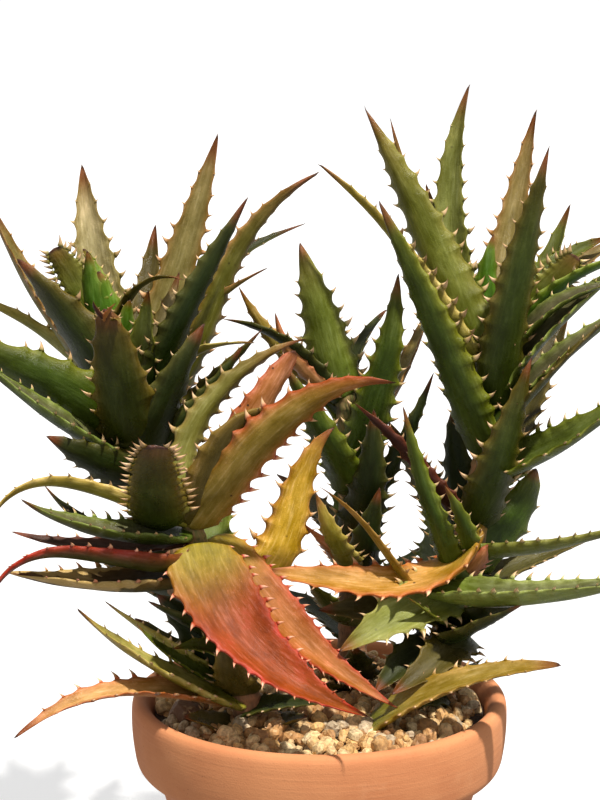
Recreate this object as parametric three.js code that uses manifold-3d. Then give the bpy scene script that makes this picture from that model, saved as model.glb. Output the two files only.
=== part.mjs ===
// A potted candelabra aloe: four leafy shoots in a terracotta bowl topped with gravel.
// Millimetres, +Z up. The origin is the middle of the pot's flat base; the front is -Y.
import * as THREE from 'three';
import { mergeVertices } from 'three/addons/utils/BufferGeometryUtils.js';
import Module from 'manifold-3d';

const wasm = await Module();
wasm.setup();

// ---- driving dimensions ----
const RIM_RADIUS = 128;        // outside of the heavy rim band
const RIM_TOP = 150;           // height of the pot
const BAND_BOTTOM = 98;        // where the rim band turns in to the body
const BODY_TOP_RADIUS = 111;   // body just under the band
const BASE_RADIUS = 78;
const WALL = 13;
const POT_FLOOR = 15;
const DRAIN_RADIUS = 7;
const DRAIN_RING = 46;         // drain holes stand round the solid middle of the base
const DRAIN_COUNT = 4;
const SOIL_TOP = 126;
const GRAVEL_EDGE = 139;       // gravel height at the wall
const GRAVEL_MOUND = 5;        // how much higher it is in the middle
const GRAVEL_TOP = GRAVEL_EDGE + GRAVEL_MOUND;
const GRAVEL_BUMP = 1.6;
const GAP = 0.35;              // clear space between pieces that touch
const LEAF_SECTION_SIDES = 8;
const LEAF_RINGS = 8;
const LEAF_DEPTH = 0.2;        // how far the underside bulges, as a part of the width
const LEAF_CROWN = 0.07;       // how far the upper face rises, as a part of the width
const LEAF_CUP = 0.14;         // how far the margins rise to the upper side, as a part of the width
const LEAF_TAPER = 0.82;       // power of the outline of a leaf with no taper of its own
const STEM_SIDES = 10;
const STEM_RINGS = 9;
const LATHE_STEPS = 40;

const colour = {
  terracotta: 0xc8764c, soil: 0x3a2a20, gravel: 0xb79a72, rock: 0x7b4a33, stem: 0x7d6a4c,
  green: 0x5d7434, olive: 0x767433, ochre: 0xa98a3a, orange: 0xc2622c, red: 0xa63f26,
};

// Each stem is a list of [x, y, z, radius] from its buried foot to its growing tip.
const stems = {
  stem_left: [[-62, 22, 108, 11], [-88, 22, 200, 11], [-118, 12, 300, 10], [-134, 8, 378, 6]],
  stem_front: [[-38, -34, 108, 10], [-52, -44, 170, 10], [-72, -50, 240, 9], [-86, -54, 292, 6]],
  stem_middle: [[22, 42, 108, 10], [24, 36, 200, 10], [22, 30, 290, 9], [16, 26, 366, 6]],
  stem_right: [[80, 6, 108, 12], [90, 2, 200, 11], [108, 0, 290, 10], [118, 2, 384, 6]],
};

// Each leaf: the points its midrib passes through from base to tip, its width, and its tone.
// face is the compass direction (degrees, 0 = +X, 90 = +Y) that the underside looks to when the
// leaf stands upright; without it the underside looks the way the leaf runs. roll turns it round
// its midrib, and twist turns its base further than its tip. taper is the power of its outline:
// low is blunt. depth is the bulge of its underside and cup the rise of its margins.
const leaves = {
  left: [
    { at: [[-126, -2, 318], [-127, -50, 370], [-135, -74, 424]], wide: 43, tone: 'olive', face: -90,
      taper: 0.5 },
    { at: [[-130, 0, 340], [-160, -12, 404], [-197, -16, 449]], wide: 46, tone: 'olive', face: -120 },
    { at: [[-134, 14, 372], [-153, 32, 456], [-160, 40, 507]], wide: 32, tone: 'ochre', face: 80, roll: 15,
      cup: 0.22 },
    { at: [[-134, 10, 356], [-186, 14, 420], [-216, 4, 482]], wide: 30, tone: 'orange', face: 160,
      cup: 0.25 },
    { at: [[-134, 4, 372], [-148, -4, 420], [-152, -10, 454]], wide: 26, tone: 'green', face: -100 },
    { at: [[-130, 12, 350], [-90, 28, 452], [-68, 34, 528]], wide: 30, tone: 'ochre', face: 70, roll: 20 },
    { at: [[-124, 0, 332], [-78, -26, 434], [-46, -26, 490]], wide: 27, tone: 'green', face: -60,
      cup: 0.22 },
    { at: [[-120, 6, 330], [-72, 4, 415], [-50, 2, 458], [0, -4, 505]], wide: 24, tone: 'orange',
      face: -70 },
    { at: [[-134, 6, 374], [-131, 0, 412], [-116, -8, 432], [-88, -18, 435]], wide: 18, tone: 'olive',
      face: -30 },
    { at: [[-120, -4, 312], [-98, -36, 366], [-74, -40, 410]], wide: 38, tone: 'olive', face: -60 },
    { at: [[-128, -4, 330], [-176, -40, 374], [-236, -58, 402]], wide: 40, tone: 'green', roll: 65 },
    { at: [[-122, -4, 316], [-172, -52, 354], [-222, -68, 396]], wide: 27, tone: 'olive', roll: -22,
      cup: 0.3 },
    { at: [[-118, -2, 302], [-146, -42, 322], [-175, -60, 340]], wide: 32, tone: 'green', roll: 60 },
    { at: [[-124, 16, 318], [-160, 70, 376], [-176, 104, 432]], wide: 34, tone: 'olive' },
    { at: [[-120, 18, 312], [-98, 76, 362], [-84, 112, 408]], wide: 32, tone: 'green' },
  ],
  front: [
    { at: [[-84, -54, 284], [-140, -78, 311], [-184, -94, 315], [-208, -104, 286]], wide: 18,
      tone: 'green', roll: 24, depth: 0.34 },
    { at: [[-84, -56, 276], [-148, -92, 290], [-184, -115, 312]], wide: 26, tone: 'green', roll: -8,
      cup: 0.32 },
    { at: [[-103, -60, 285], [-102, -104, 315], [-99, -146, 352]], wide: 36, tone: 'olive', taper: 0.34,
      cup: 0 },
    { at: [[-88, -52, 262], [-136, -98, 274], [-180, -119, 276], [-203, -129, 250]], wide: 25, tone: 'red',
      roll: 28, depth: 0.34, cup: 0.1 },
    { at: [[-84, -48, 248], [-146, -92, 254], [-194, -112, 264]], wide: 33, tone: 'orange', roll: -8,
      cup: 0.3 },
    { at: [[-78, -66, 270], [-58, -90, 232], [-12, -115, 194], [29, -147, 183]], wide: 54, tone: 'red',
      roll: 30, taper: 1.3 },
    { at: [[-72, -46, 268], [-44, -60, 242], [-2, -67, 200], [52, -66, 160]], wide: 43, tone: 'red',
      roll: 30, taper: 1.2 },
    { at: [[-82, -54, 284], [-45, -80, 334], [2, -90, 374], [47, -90, 380]], wide: 32, tone: 'orange',
      face: -60, roll: -30, depth: 0.26 },
    { at: [[-84, -56, 286], [-66, -72, 325], [-50, -78, 351], [-24, -80, 361]], wide: 34, tone: 'olive',
      face: -70 },
    { at: [[-84, -48, 290], [-44, -44, 350], [-16, -44, 393]], wide: 34, tone: 'orange', face: -60,
      taper: 0.48 },
    { at: [[-88, -50, 290], [-90, -40, 322], [-57, -30, 371], [-9, -28, 398]], wide: 18, tone: 'green',
      face: -70, cup: 0.25 },
    { at: [[-62, -40, 232], [-27, -32, 259], [-13, -32, 304], [10, -32, 341]], wide: 32, tone: 'ochre',
      face: -80 },
    { at: [[-50, -44, 158], [-114, -84, 202], [-152, -106, 240]], wide: 28, tone: 'green', roll: -20 },
    { at: [[-50, -44, 158], [-108, -78, 179], [-158, -116, 180], [-190, -132, 164]], wide: 22,
      tone: 'orange', roll: -20, cup: 0.25 },
    { at: [[-50, -44, 166], [-58, -70, 186], [-62, -86, 211]], wide: 26, tone: 'olive', face: -90,
      taper: 0.6 },
  ],
  middle: [
    { at: [[16, 26, 352], [0, 16, 408], [-13, 12, 457]], wide: 32, tone: 'ochre', face: -90 },
    { at: [[22, 28, 300], [42, 4, 370], [52, -2, 438]], wide: 28, tone: 'green', face: -100 },
    { at: [[22, 28, 285], [2, -14, 334], [-23, -22, 380]], wide: 28, tone: 'green', face: -100 },
    { at: [[18, 30, 345], [8, 72, 386], [6, 104, 412]], wide: 30, tone: 'olive' },
    { at: [[22, 34, 262], [36, 86, 312], [44, 122, 352]], wide: 30, tone: 'green' },
  ],
  right: [
    { at: [[116, 2, 362], [68, 6, 470], [29, 6, 547]], wide: 37, tone: 'olive', face: -115, taper: 1,
      depth: 0.28 },
    { at: [[112, -2, 318], [72, -34, 414], [37, -40, 489]], wide: 31, tone: 'green', face: -118,
      depth: 0.28 },
    { at: [[116, 10, 368], [88, 44, 480], [102, 54, 560]], wide: 28, tone: 'green', face: 90, roll: -25,
      depth: 0.28 },
    { at: [[118, 8, 374], [130, 46, 466], [148, 58, 543]], wide: 25, tone: 'orange', face: 75, cup: 0.24 },
    { at: [[116, -4, 350], [127, -30, 440], [146, -30, 523]], wide: 32, tone: 'olive', face: -85,
      taper: 1 },
    { at: [[118, 4, 376], [152, 14, 438], [194, 16, 460]], wide: 26, tone: 'green', roll: 35, cup: 0.25 },
    { at: [[116, 0, 356], [156, -14, 410], [200, -18, 446]], wide: 28, tone: 'green', roll: 30, cup: 0.3 },
    { at: [[112, -4, 306], [152, -46, 333], [209, -60, 378]], wide: 32, tone: 'green', roll: 28, cup: 0.3 },
    { at: [[104, -4, 268], [119, -42, 332], [136, -46, 390]], wide: 32, tone: 'olive', face: -80,
      taper: 0.95 },
    { at: [[94, -4, 224], [72, -40, 292], [53, -44, 357]], wide: 19, tone: 'green', face: -120,
      depth: 0.3 },
    { at: [[100, -4, 254], [152, -44, 267], [210, -60, 284]], wide: 23, tone: 'ochre', roll: -18,
      depth: 0.34 },
    { at: [[74, -26, 231], [132, -66, 238], [212, -88, 255]], wide: 30, tone: 'green', roll: 7, cup: 0.42 },
    { at: [[106, -8, 268], [68, -36, 241], [14, -44, 241], [-40, -42, 247]], wide: 33, tone: 'orange',
      roll: -52, twist: 74, cup: 0.06 },
    { at: [[88, -4, 214], [40, -30, 219], [-1, -40, 219]], wide: 34, tone: 'olive', roll: -45 },
    { at: [[28, -50, 140], [64, -72, 172], [98, -82, 188], [152, -98, 200]], wide: 26, tone: 'ochre',
      roll: 20, taper: 0.58 },
    { at: [[98, -10, 228], [56, -48, 222], [12, -64, 198]], wide: 38, tone: 'green', roll: -48 },
    { at: [[112, 4, 300], [150, 60, 352], [178, 92, 404]], wide: 34, tone: 'olive' },
  ],
};

// ---- solids ----
function solidOf(geometry) {
  const bare = geometry.clone();
  bare.deleteAttribute('normal');
  bare.deleteAttribute('uv');
  const merged = mergeVertices(bare, 1e-4);
  return new wasm.Manifold(new wasm.Mesh({
    numProp: 3,
    vertProperties: merged.attributes.position.array,
    triVerts: new Uint32Array(merged.index.array),
  }));
}

function geometryOf(solid) {
  const mesh = solid.getMesh();
  const geometry = new THREE.BufferGeometry();
  geometry.setAttribute('position', new THREE.BufferAttribute(mesh.vertProperties, 3));
  geometry.setIndex(new THREE.BufferAttribute(mesh.triVerts, 1));
  geometry.computeVertexNormals();
  return geometry;
}

// The biggest separate body of a cut solid, without the slivers.
function largestBody(solid) {
  const bodies = solid.decompose();
  bodies.sort((a, b) => b.volume() - a.volume());
  return bodies[0];
}

// A closed solid from a row of rings with equal sides; its two ends close in a point.
function ringSolid(rings, startPoint, endPoint) {
  const sides = rings[0].length;
  const points = [startPoint, ...rings.flat(), endPoint];
  const index = [];
  const at = (ring, side) => 1 + ring * sides + (side % sides);
  for (let side = 0; side < sides; side++) {
    index.push(0, at(0, side + 1), at(0, side));
    for (let ring = 0; ring < rings.length - 1; ring++) {
      index.push(at(ring, side), at(ring, side + 1), at(ring + 1, side + 1));
      index.push(at(ring, side), at(ring + 1, side + 1), at(ring + 1, side));
    }
    index.push(points.length - 1, at(rings.length - 1, side), at(rings.length - 1, side + 1));
  }
  const geometry = new THREE.BufferGeometry();
  geometry.setAttribute('position', new THREE.BufferAttribute(
    new Float32Array(points.flatMap((p) => [p.x, p.y, p.z])), 3));
  geometry.setIndex(index);
  return solidOf(geometry);
}

// A smooth curve through a few points: the polynomial that meets each at its chord length.
function curveThrough(points) {
  const spots = points.map((p) => new THREE.Vector3(p[0], p[1], p[2]));
  const knots = [0];
  for (let i = 1; i < spots.length; i++) knots.push(knots[i - 1] + spots[i].distanceTo(spots[i - 1]));
  const total = knots[knots.length - 1];
  return (t) => {
    const sum = new THREE.Vector3();
    spots.forEach((spot, i) => {
      let weight = 1;
      knots.forEach((knot, j) => {
        if (j !== i) weight *= (t * total - knot) / (knots[i] - knot);
      });
      sum.addScaledVector(spot, weight);
    });
    return sum;
  };
}

function tangentOf(curve, t) {
  const step = 0.01;
  return curve(Math.min(t + step, 1)).sub(curve(Math.max(t - step, 0))).normalize();
}

// Full near the base, then an ever quicker taper to the point.
const leafWidth = (t, taper) => Math.pow(1 - t, taper) * (1 + (taper - 0.2) * t) * Math.min(1, 0.75 + 2 * t);
const leafThickness = (t) => Math.pow(1 - t, 0.55);

function leafSolid(leaf, grow) {
  const curve = curveThrough(leaf.at);
  const first = leaf.at[0];
  const last = leaf.at[leaf.at.length - 1];
  const face = leaf.face === undefined
    ? Math.atan2(last[1] - first[1], last[0] - first[0])
    : THREE.MathUtils.degToRad(leaf.face);
  const across = new THREE.Vector3(-Math.sin(face), Math.cos(face), 0);
  const rings = [];
  for (let i = 0; i < LEAF_RINGS; i++) {
    const t = 0.965 * i / (LEAF_RINGS - 1);
    const along = tangentOf(curve, t);
    const side = across.clone().addScaledVector(along, -across.dot(along)).normalize();
    const turn = (leaf.roll || 0) + (leaf.twist || 0) * (1 - t) ** 2;
    side.applyAxisAngle(along, THREE.MathUtils.degToRad(turn));
    const under = side.clone().cross(along);
    const halfWidth = leaf.wide / 2 * leafWidth(t, leaf.taper || LEAF_TAPER) + grow;
    const fat = leaf.wide * leafThickness(t);
    const depth = fat * (leaf.depth || LEAF_DEPTH) + grow;
    const crown = fat * LEAF_CROWN + grow;
    const rise = fat * (leaf.cup === undefined ? LEAF_CUP : leaf.cup) * Math.min(1, 4 * t);
    const ring = [];
    for (let k = 0; k < LEAF_SECTION_SIDES; k++) {
      const a = 2 * Math.PI * k / LEAF_SECTION_SIDES;
      const bulge = Math.abs(Math.sin(a)) * (Math.sin(a) > 0 ? -crown : depth);
      ring.push(curve(t).addScaledVector(side, Math.cos(a) * halfWidth)
        .addScaledVector(under, bulge - rise * (Math.cos(a) ** 2 - 0.35)));
    }
    rings.push(ring);
  }
  const start = curve(0).addScaledVector(tangentOf(curve, 0), -grow - 1);
  const end = curve(1).addScaledVector(tangentOf(curve, 1), grow);
  return ringSolid(rings, start, end);
}

function stemSolid(points, grow) {
  const curve = curveThrough(points);
  const rings = [];
  for (let i = 0; i < STEM_RINGS; i++) {
    const t = i / (STEM_RINGS - 1);
    const along = tangentOf(curve, t);
    const side = new THREE.Vector3(0, 1, 0).addScaledVector(along, -along.y).normalize();
    const other = along.clone().cross(side);
    const spot = t * (points.length - 1);
    const low = Math.min(Math.floor(spot), points.length - 2);
    const radius = THREE.MathUtils.lerp(points[low][3], points[low + 1][3], spot - low) + grow;
    const ring = [];
    for (let k = 0; k < STEM_SIDES; k++) {
      const a = 2 * Math.PI * k / STEM_SIDES;
      ring.push(curve(t).addScaledVector(side, Math.cos(a) * radius)
        .addScaledVector(other, Math.sin(a) * radius));
    }
    rings.push(ring);
  }
  const start = curve(0).addScaledVector(tangentOf(curve, 0), -grow - 0.5);
  const end = curve(1).addScaledVector(tangentOf(curve, 1), grow + 6);
  return ringSolid(rings, start, end);
}

function latheSolid(outline) {
  const profile = outline.map(([r, z]) => new THREE.Vector2(r, z));
  const geometry = new THREE.LatheGeometry(profile, LATHE_STEPS);
  geometry.rotateX(Math.PI / 2);
  return solidOf(geometry);
}

// ---- pot, soil, gravel ----
const bodyRadius = (z) => BASE_RADIUS + (BODY_TOP_RADIUS - BASE_RADIUS) * Math.pow(z / BAND_BOTTOM, 0.8);

// The pot's inner wall as [radius, height] points, from the floor to just under the lip.
const innerWall = [
  [bodyRadius(POT_FLOOR) - WALL, POT_FLOOR], [bodyRadius(60) - WALL, 60],
  [RIM_RADIUS - 30, 100], [RIM_RADIUS - 18, 118], [RIM_RADIUS - 14, RIM_TOP - 9],
];

function innerRadius(z) {
  let i = 1;
  while (i < innerWall.length - 1 && innerWall[i][1] < z) i++;
  const [r0, z0] = innerWall[i - 1];
  const [r1, z1] = innerWall[i];
  return r0 + (r1 - r0) * (z - z0) / (z1 - z0);
}

function potSolid() {
  const outline = [
    [0, 0], [BASE_RADIUS - 2, 0], [BASE_RADIUS, 2],
    [bodyRadius(24), 24], [bodyRadius(48), 48], [bodyRadius(72), 72],
    [BODY_TOP_RADIUS, BAND_BOTTOM], [RIM_RADIUS - 8, BAND_BOTTOM + 2.5], [RIM_RADIUS - 3.5, BAND_BOTTOM + 7],
    [RIM_RADIUS - 1.5, BAND_BOTTOM + 14], [RIM_RADIUS, RIM_TOP - 24], [RIM_RADIUS, RIM_TOP - 8],
    [RIM_RADIUS - 2.5, RIM_TOP - 2],
    [RIM_RADIUS - 7, RIM_TOP], [RIM_RADIUS - 12, RIM_TOP - 2], ...innerWall.slice().reverse(), [0, POT_FLOOR],
  ];
  let pot = latheSolid(outline);
  for (let i = 0; i < DRAIN_COUNT; i++) {
    const a = 2 * Math.PI * (i + 0.5) / DRAIN_COUNT;
    const drill = new THREE.CylinderGeometry(DRAIN_RADIUS, DRAIN_RADIUS, 4 * POT_FLOOR, 16);
    drill.rotateX(Math.PI / 2);
    drill.translate(DRAIN_RING * Math.cos(a), DRAIN_RING * Math.sin(a), 0);
    pot = pot.subtract(solidOf(drill));
  }
  return pot;
}

function soilSolid() {
  const wall = innerWall.slice(1, 4).map(([r, z]) => [r - GAP, z]);
  return latheSolid([
    [0, POT_FLOOR + GAP], [innerRadius(POT_FLOOR) - GAP, POT_FLOOR + GAP], ...wall,
    [innerRadius(SOIL_TOP) - GAP, SOIL_TOP], [0, SOIL_TOP],
  ]);
}

// A disc whose top is a low mound with stone-sized bumps.
function gravelSolid() {
  const rings = 8;
  const spokes = 32;
  const bottom = SOIL_TOP + GAP;
  const radiusTop = innerRadius(GRAVEL_EDGE) - 2 * GAP;
  const radiusBottom = innerRadius(bottom) - 2 * GAP;
  const loops = [];
  for (let i = 1; i <= rings; i++) {
    const loop = [];
    for (let k = 0; k < spokes; k++) {
      const a = 2 * Math.PI * k / spokes;
      const r = radiusTop * i / rings;
      const bump = GRAVEL_BUMP * Math.sin(i * 2.4 + 5.1 * Math.sin(k * 1.9)) * Math.cos(k * 2.7 + i);
      const mound = GRAVEL_MOUND * (1 - (i / rings) ** 2);
      loop.push(new THREE.Vector3(r * Math.cos(a), r * Math.sin(a), GRAVEL_EDGE + mound + bump));
    }
    loops.push(loop);
  }
  const skirt = [];
  for (let k = 0; k < spokes; k++) {
    const a = 2 * Math.PI * k / spokes;
    skirt.push(new THREE.Vector3(radiusBottom * Math.cos(a), radiusBottom * Math.sin(a), bottom));
  }
  loops.push(skirt);
  const turned = loops.map((loop) => loop.slice().reverse());
  return ringSolid(turned, new THREE.Vector3(0, 0, GRAVEL_TOP), new THREE.Vector3(0, 0, bottom));
}

function rockSolid(grow) {
  const rock = new THREE.IcosahedronGeometry(1, 1);
  rock.scale(13 + grow, 10 + grow, 10 + grow);
  rock.rotateZ(0.5);
  rock.translate(-89, -36, 147);
  return solidOf(rock);
}

// ---- assembly ----
const group = new THREE.Group();

function add(name, solid, hex, roughness) {
  const mesh = new THREE.Mesh(geometryOf(solid), new THREE.MeshStandardMaterial({
    color: hex, roughness, metalness: 0,
  }));
  mesh.name = name;
  group.add(mesh);
}

const stemCutters = [];
for (const [name, points] of Object.entries(stems)) {
  add(name, stemSolid(points, 0), colour.stem, 0.85);
  stemCutters.push(stemSolid(points, GAP));
}
const allStems = wasm.Manifold.union(stemCutters);
const rockCutter = rockSolid(GAP);

add('pot', potSolid(), colour.terracotta, 0.8);
add('soil', largestBody(soilSolid().subtract(allStems)), colour.soil, 0.95);
add('gravel', largestBody(gravelSolid().subtract(allStems).subtract(rockCutter)), colour.gravel, 0.85);
add('rock', rockSolid(0), colour.rock, 0.8);

// Everything that a new leaf has to stay clear of: pot and gravel, rock, stems and earlier leaves.
const ground = latheSolid([
  [0, POT_FLOOR], [RIM_RADIUS + 1, POT_FLOOR], [RIM_RADIUS + 1, RIM_TOP + GAP],
  [RIM_RADIUS - 8, RIM_TOP + GAP], [RIM_RADIUS - 16, GRAVEL_TOP + 3], [0, GRAVEL_TOP + 3],
]);
let taken = wasm.Manifold.union([allStems, ground, rockCutter]);
for (const [shoot, list] of Object.entries(leaves)) {
  list.forEach((leaf, i) => {
    const whole = leafSolid(leaf, 0);
    const body = largestBody(whole.subtract(taken));
    add(`leaf_${shoot}_${String(i + 1).padStart(2, '0')}`, body, colour[leaf.tone], 0.4);
    taken = wasm.Manifold.union([taken, whole, leafSolid(leaf, GAP)]);
  });
}

export default group;
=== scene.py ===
# %% [markdown]
# # A potted candelabra aloe
# Four leafy shoots stand in a terracotta bowl topped with gravel. The frame comes first: it is the
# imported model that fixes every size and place. Each piece below is a surface worked out with numpy
# and laid over its part of that frame.

# %% Load the frame
import math

import bpy
import numpy as np
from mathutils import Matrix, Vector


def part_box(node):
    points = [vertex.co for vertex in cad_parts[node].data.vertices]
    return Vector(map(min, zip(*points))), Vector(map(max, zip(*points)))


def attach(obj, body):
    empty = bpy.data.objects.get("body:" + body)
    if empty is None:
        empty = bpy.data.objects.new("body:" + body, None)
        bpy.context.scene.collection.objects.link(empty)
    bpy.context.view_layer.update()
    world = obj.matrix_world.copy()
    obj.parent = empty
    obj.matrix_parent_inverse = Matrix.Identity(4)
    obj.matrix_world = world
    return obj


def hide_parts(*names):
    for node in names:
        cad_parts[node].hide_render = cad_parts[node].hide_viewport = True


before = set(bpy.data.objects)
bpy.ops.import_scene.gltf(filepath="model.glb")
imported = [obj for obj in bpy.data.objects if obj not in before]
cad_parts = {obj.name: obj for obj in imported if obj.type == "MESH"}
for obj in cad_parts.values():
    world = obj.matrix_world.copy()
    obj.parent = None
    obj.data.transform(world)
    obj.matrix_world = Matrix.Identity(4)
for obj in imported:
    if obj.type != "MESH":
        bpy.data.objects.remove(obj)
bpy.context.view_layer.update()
MM = 0.001
print("frame nodes:", len(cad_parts))

# %% [markdown]
# ## Putting arrays into meshes
# Leaves, stems and the pot are all rings of points along a line, closed at both ends. So one helper
# gives the faces of such a tube, and another joins any number of surfaces into one object. It would
# also work to model each leaf by hand, but there are more than a hundred, and no two are alike.
# Colours are given as they would be mixed on a screen, and turned to linear light once, here.


# %% Colours, soft steps and directions
def linear(colour):
    """Screen colour 0..255 to linear 0..1: the sRGB curve, (c + 0.055) / 1.055 to the power 2.4."""
    c = np.asarray(colour, float) / 255.0
    return np.where(c <= 0.04045, c / 12.92, ((c + 0.055) / 1.055) ** 2.4)


def smoothstep(low, high, value):
    """0 below low, 1 above high, and the curve 3x^2 - 2x^3 between."""
    x = np.clip((value - low) / (high - low), 0, 1)
    return x * x * (3 - 2 * x)


def unit(vectors):
    """Each vector divided by its own length."""
    return vectors / np.linalg.norm(vectors, axis=-1, keepdims=True)


print("mid grey in linear light:", linear((128, 128, 128)).round(3))


# %% Faces of a tube
def tube_faces(rings, sides):
    """Quads between neighbouring rings of a closed tube, and the two fans that close its ends.
    Ring points come first, then the start point and the end point."""
    i, k = np.meshgrid(np.arange(rings - 1), np.arange(sides), indexing="ij")
    k2 = (k + 1) % sides
    quads = np.stack([i * sides + k, i * sides + k2, (i + 1) * sides + k2, (i + 1) * sides + k], -1)
    k = np.arange(sides)
    k2 = (k + 1) % sides
    start = np.full(sides, rings * sides)
    end = start + 1
    first = np.stack([start, k2, k], -1)
    last = np.stack([end, (rings - 1) * sides + k, (rings - 1) * sides + k2], -1)
    return quads.reshape(-1, 4), np.concatenate([first, last])


print("a tube of 3 rings and 6 sides:", [len(faces) for faces in tube_faces(3, 6)], "quads and triangles")

# %% From arrays to an object
POINT_VALUES = {
    "tone": ("FLOAT_COLOR", "color"),
    "skin": ("FLOAT_VECTOR", "vector"),
    "flush": ("FLOAT", "value"),
}


def make_piece(name, parts, material, smooth=True):
    """One object from a list of parts, each a dict of points (n, 3), quads, tris, and the optional
    tone (n, 3) colour, skin (n, 3) surface place in metres and flush (n) of every point."""
    quads, tris, offset = [], [], 0
    for part in parts:
        quads.append(part["quads"] + offset)
        tris.append(part["tris"] + offset)
        offset += len(part["points"])
    points = np.concatenate([part["points"] for part in parts])
    quads, tris = np.concatenate(quads), np.concatenate(tris)
    mesh = bpy.data.meshes.new(name)
    mesh.vertices.add(len(points))
    mesh.vertices.foreach_set("co", points.astype(np.float32).ravel())
    mesh.loops.add(quads.size + tris.size)
    mesh.loops.foreach_set("vertex_index", np.concatenate([quads.ravel(), tris.ravel()]).astype(np.int32))
    starts = np.concatenate([np.arange(len(quads)) * 4, quads.size + np.arange(len(tris)) * 3])
    mesh.polygons.add(len(starts))
    mesh.polygons.foreach_set("loop_start", starts.astype(np.int32))
    mesh.update(calc_edges=True)
    mesh.polygons.foreach_set("use_smooth", np.full(len(starts), smooth))
    for value, (kind, field) in POINT_VALUES.items():
        if value in parts[0]:
            numbers = np.concatenate([part[value] for part in parts])
            if kind == "FLOAT_COLOR":
                numbers = np.column_stack([numbers, np.ones(len(numbers))])
            layer = mesh.attributes.new(value, kind, "POINT")
            layer.data.foreach_set(field, numbers.astype(np.float32).ravel())
    mesh.validate()
    mesh.materials.append(material)
    piece = bpy.data.objects.new(name, mesh)
    bpy.context.scene.collection.objects.link(piece)
    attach(piece, "root")
    return piece


print("values kept on every point:", list(POINT_VALUES))

# %% [markdown]
# ## Node helpers
# A material is a small graph of nodes. It could be drawn by hand in the shader editor; in a script a
# few helpers keep each graph short enough to read. Every pattern reads the object's own coordinates
# or a value kept on the mesh, so nothing slides when the camera moves.


# %% Material helpers
def new_material(name):
    """A graph with nothing in it but a Principled shader and its output."""
    material = bpy.data.materials.new(name)
    material.use_nodes = True
    nodes = material.node_tree.nodes
    nodes.clear()
    output = nodes.new("ShaderNodeOutputMaterial")
    shader = nodes.new("ShaderNodeBsdfPrincipled")
    material.node_tree.links.new(shader.outputs["BSDF"], output.inputs["Surface"])
    return material, shader


def set_input(socket, value):
    """Links a socket to the value if that is a socket, and else sets it."""
    if isinstance(value, bpy.types.NodeSocket):
        socket.id_data.links.new(value, socket)
    elif isinstance(value, tuple) and len(value) == 3 and socket.type == "RGBA":
        socket.default_value = (*value, 1.0)
    else:
        socket.default_value = value


def add(material, kind, out=0, settings=None, **inputs):
    """Adds a node, sets or links its inputs by name (an underscore stands for a space; i0, i1 are
    inputs by number), and returns the asked output socket."""
    node = material.node_tree.nodes.new("ShaderNode" + kind)
    for key, value in (settings or {}).items():
        setattr(node, key, value)
    for key, value in inputs.items():
        name = int(key[1:]) if key[1:].isdigit() else key.replace("_", " ")
        set_input(node.inputs[name], value)
    return node.outputs[out]


def arithmetic(material, operation, first, second, third=0.0):
    """The result of a Math node."""
    return add(material, "Math", 0, {"operation": operation}, i0=first, i1=second, i2=third)


def mix(material, factor, first, second):
    """Colour between first, at factor 0, and second, at factor 1."""
    return add(material, "Mix", 2, {"data_type": "RGBA"}, i0=factor, i6=first, i7=second)


def ramp(material, value, low, high, to_low=0.0, to_high=1.0):
    """Maps value from low..high to to_low..to_high with soft ends."""
    return add(material, "MapRange", settings={"interpolation_type": "SMOOTHSTEP"}, Value=value,
               From_Min=low, From_Max=high, To_Min=to_low, To_Max=to_high)


def noise(material, where, scale, detail=4.0, rough=0.55):
    """Fractal noise, mostly between 0.3 and 0.7, read at the place times scale."""
    return add(material, "TexNoise", Vector=where, Scale=scale, Detail=detail, Roughness=rough)


def rgb(*colour):
    """A screen colour as the linear numbers that a colour input takes."""
    return tuple(float(c) for c in linear(colour))


print("terracotta in linear light:", [round(c, 3) for c in rgb(204, 134, 86)])

# %% [markdown]
# ## Leaf skin
# A real aloe leaf is a thick waxy skin over clear flesh. Its colour runs from base to tip and from
# the middle to the margins, so each point carries its own tone. The shader adds what is finer than
# the mesh: clouds of lighter and darker skin, lengthwise streaks, pale flecks, a few dark blemishes,
# a flush where the plant had much sun, and a wax that is glossier in some patches than in others.
# Streaks and clouds are one noise each, read from places squeezed along the leaf.


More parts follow.
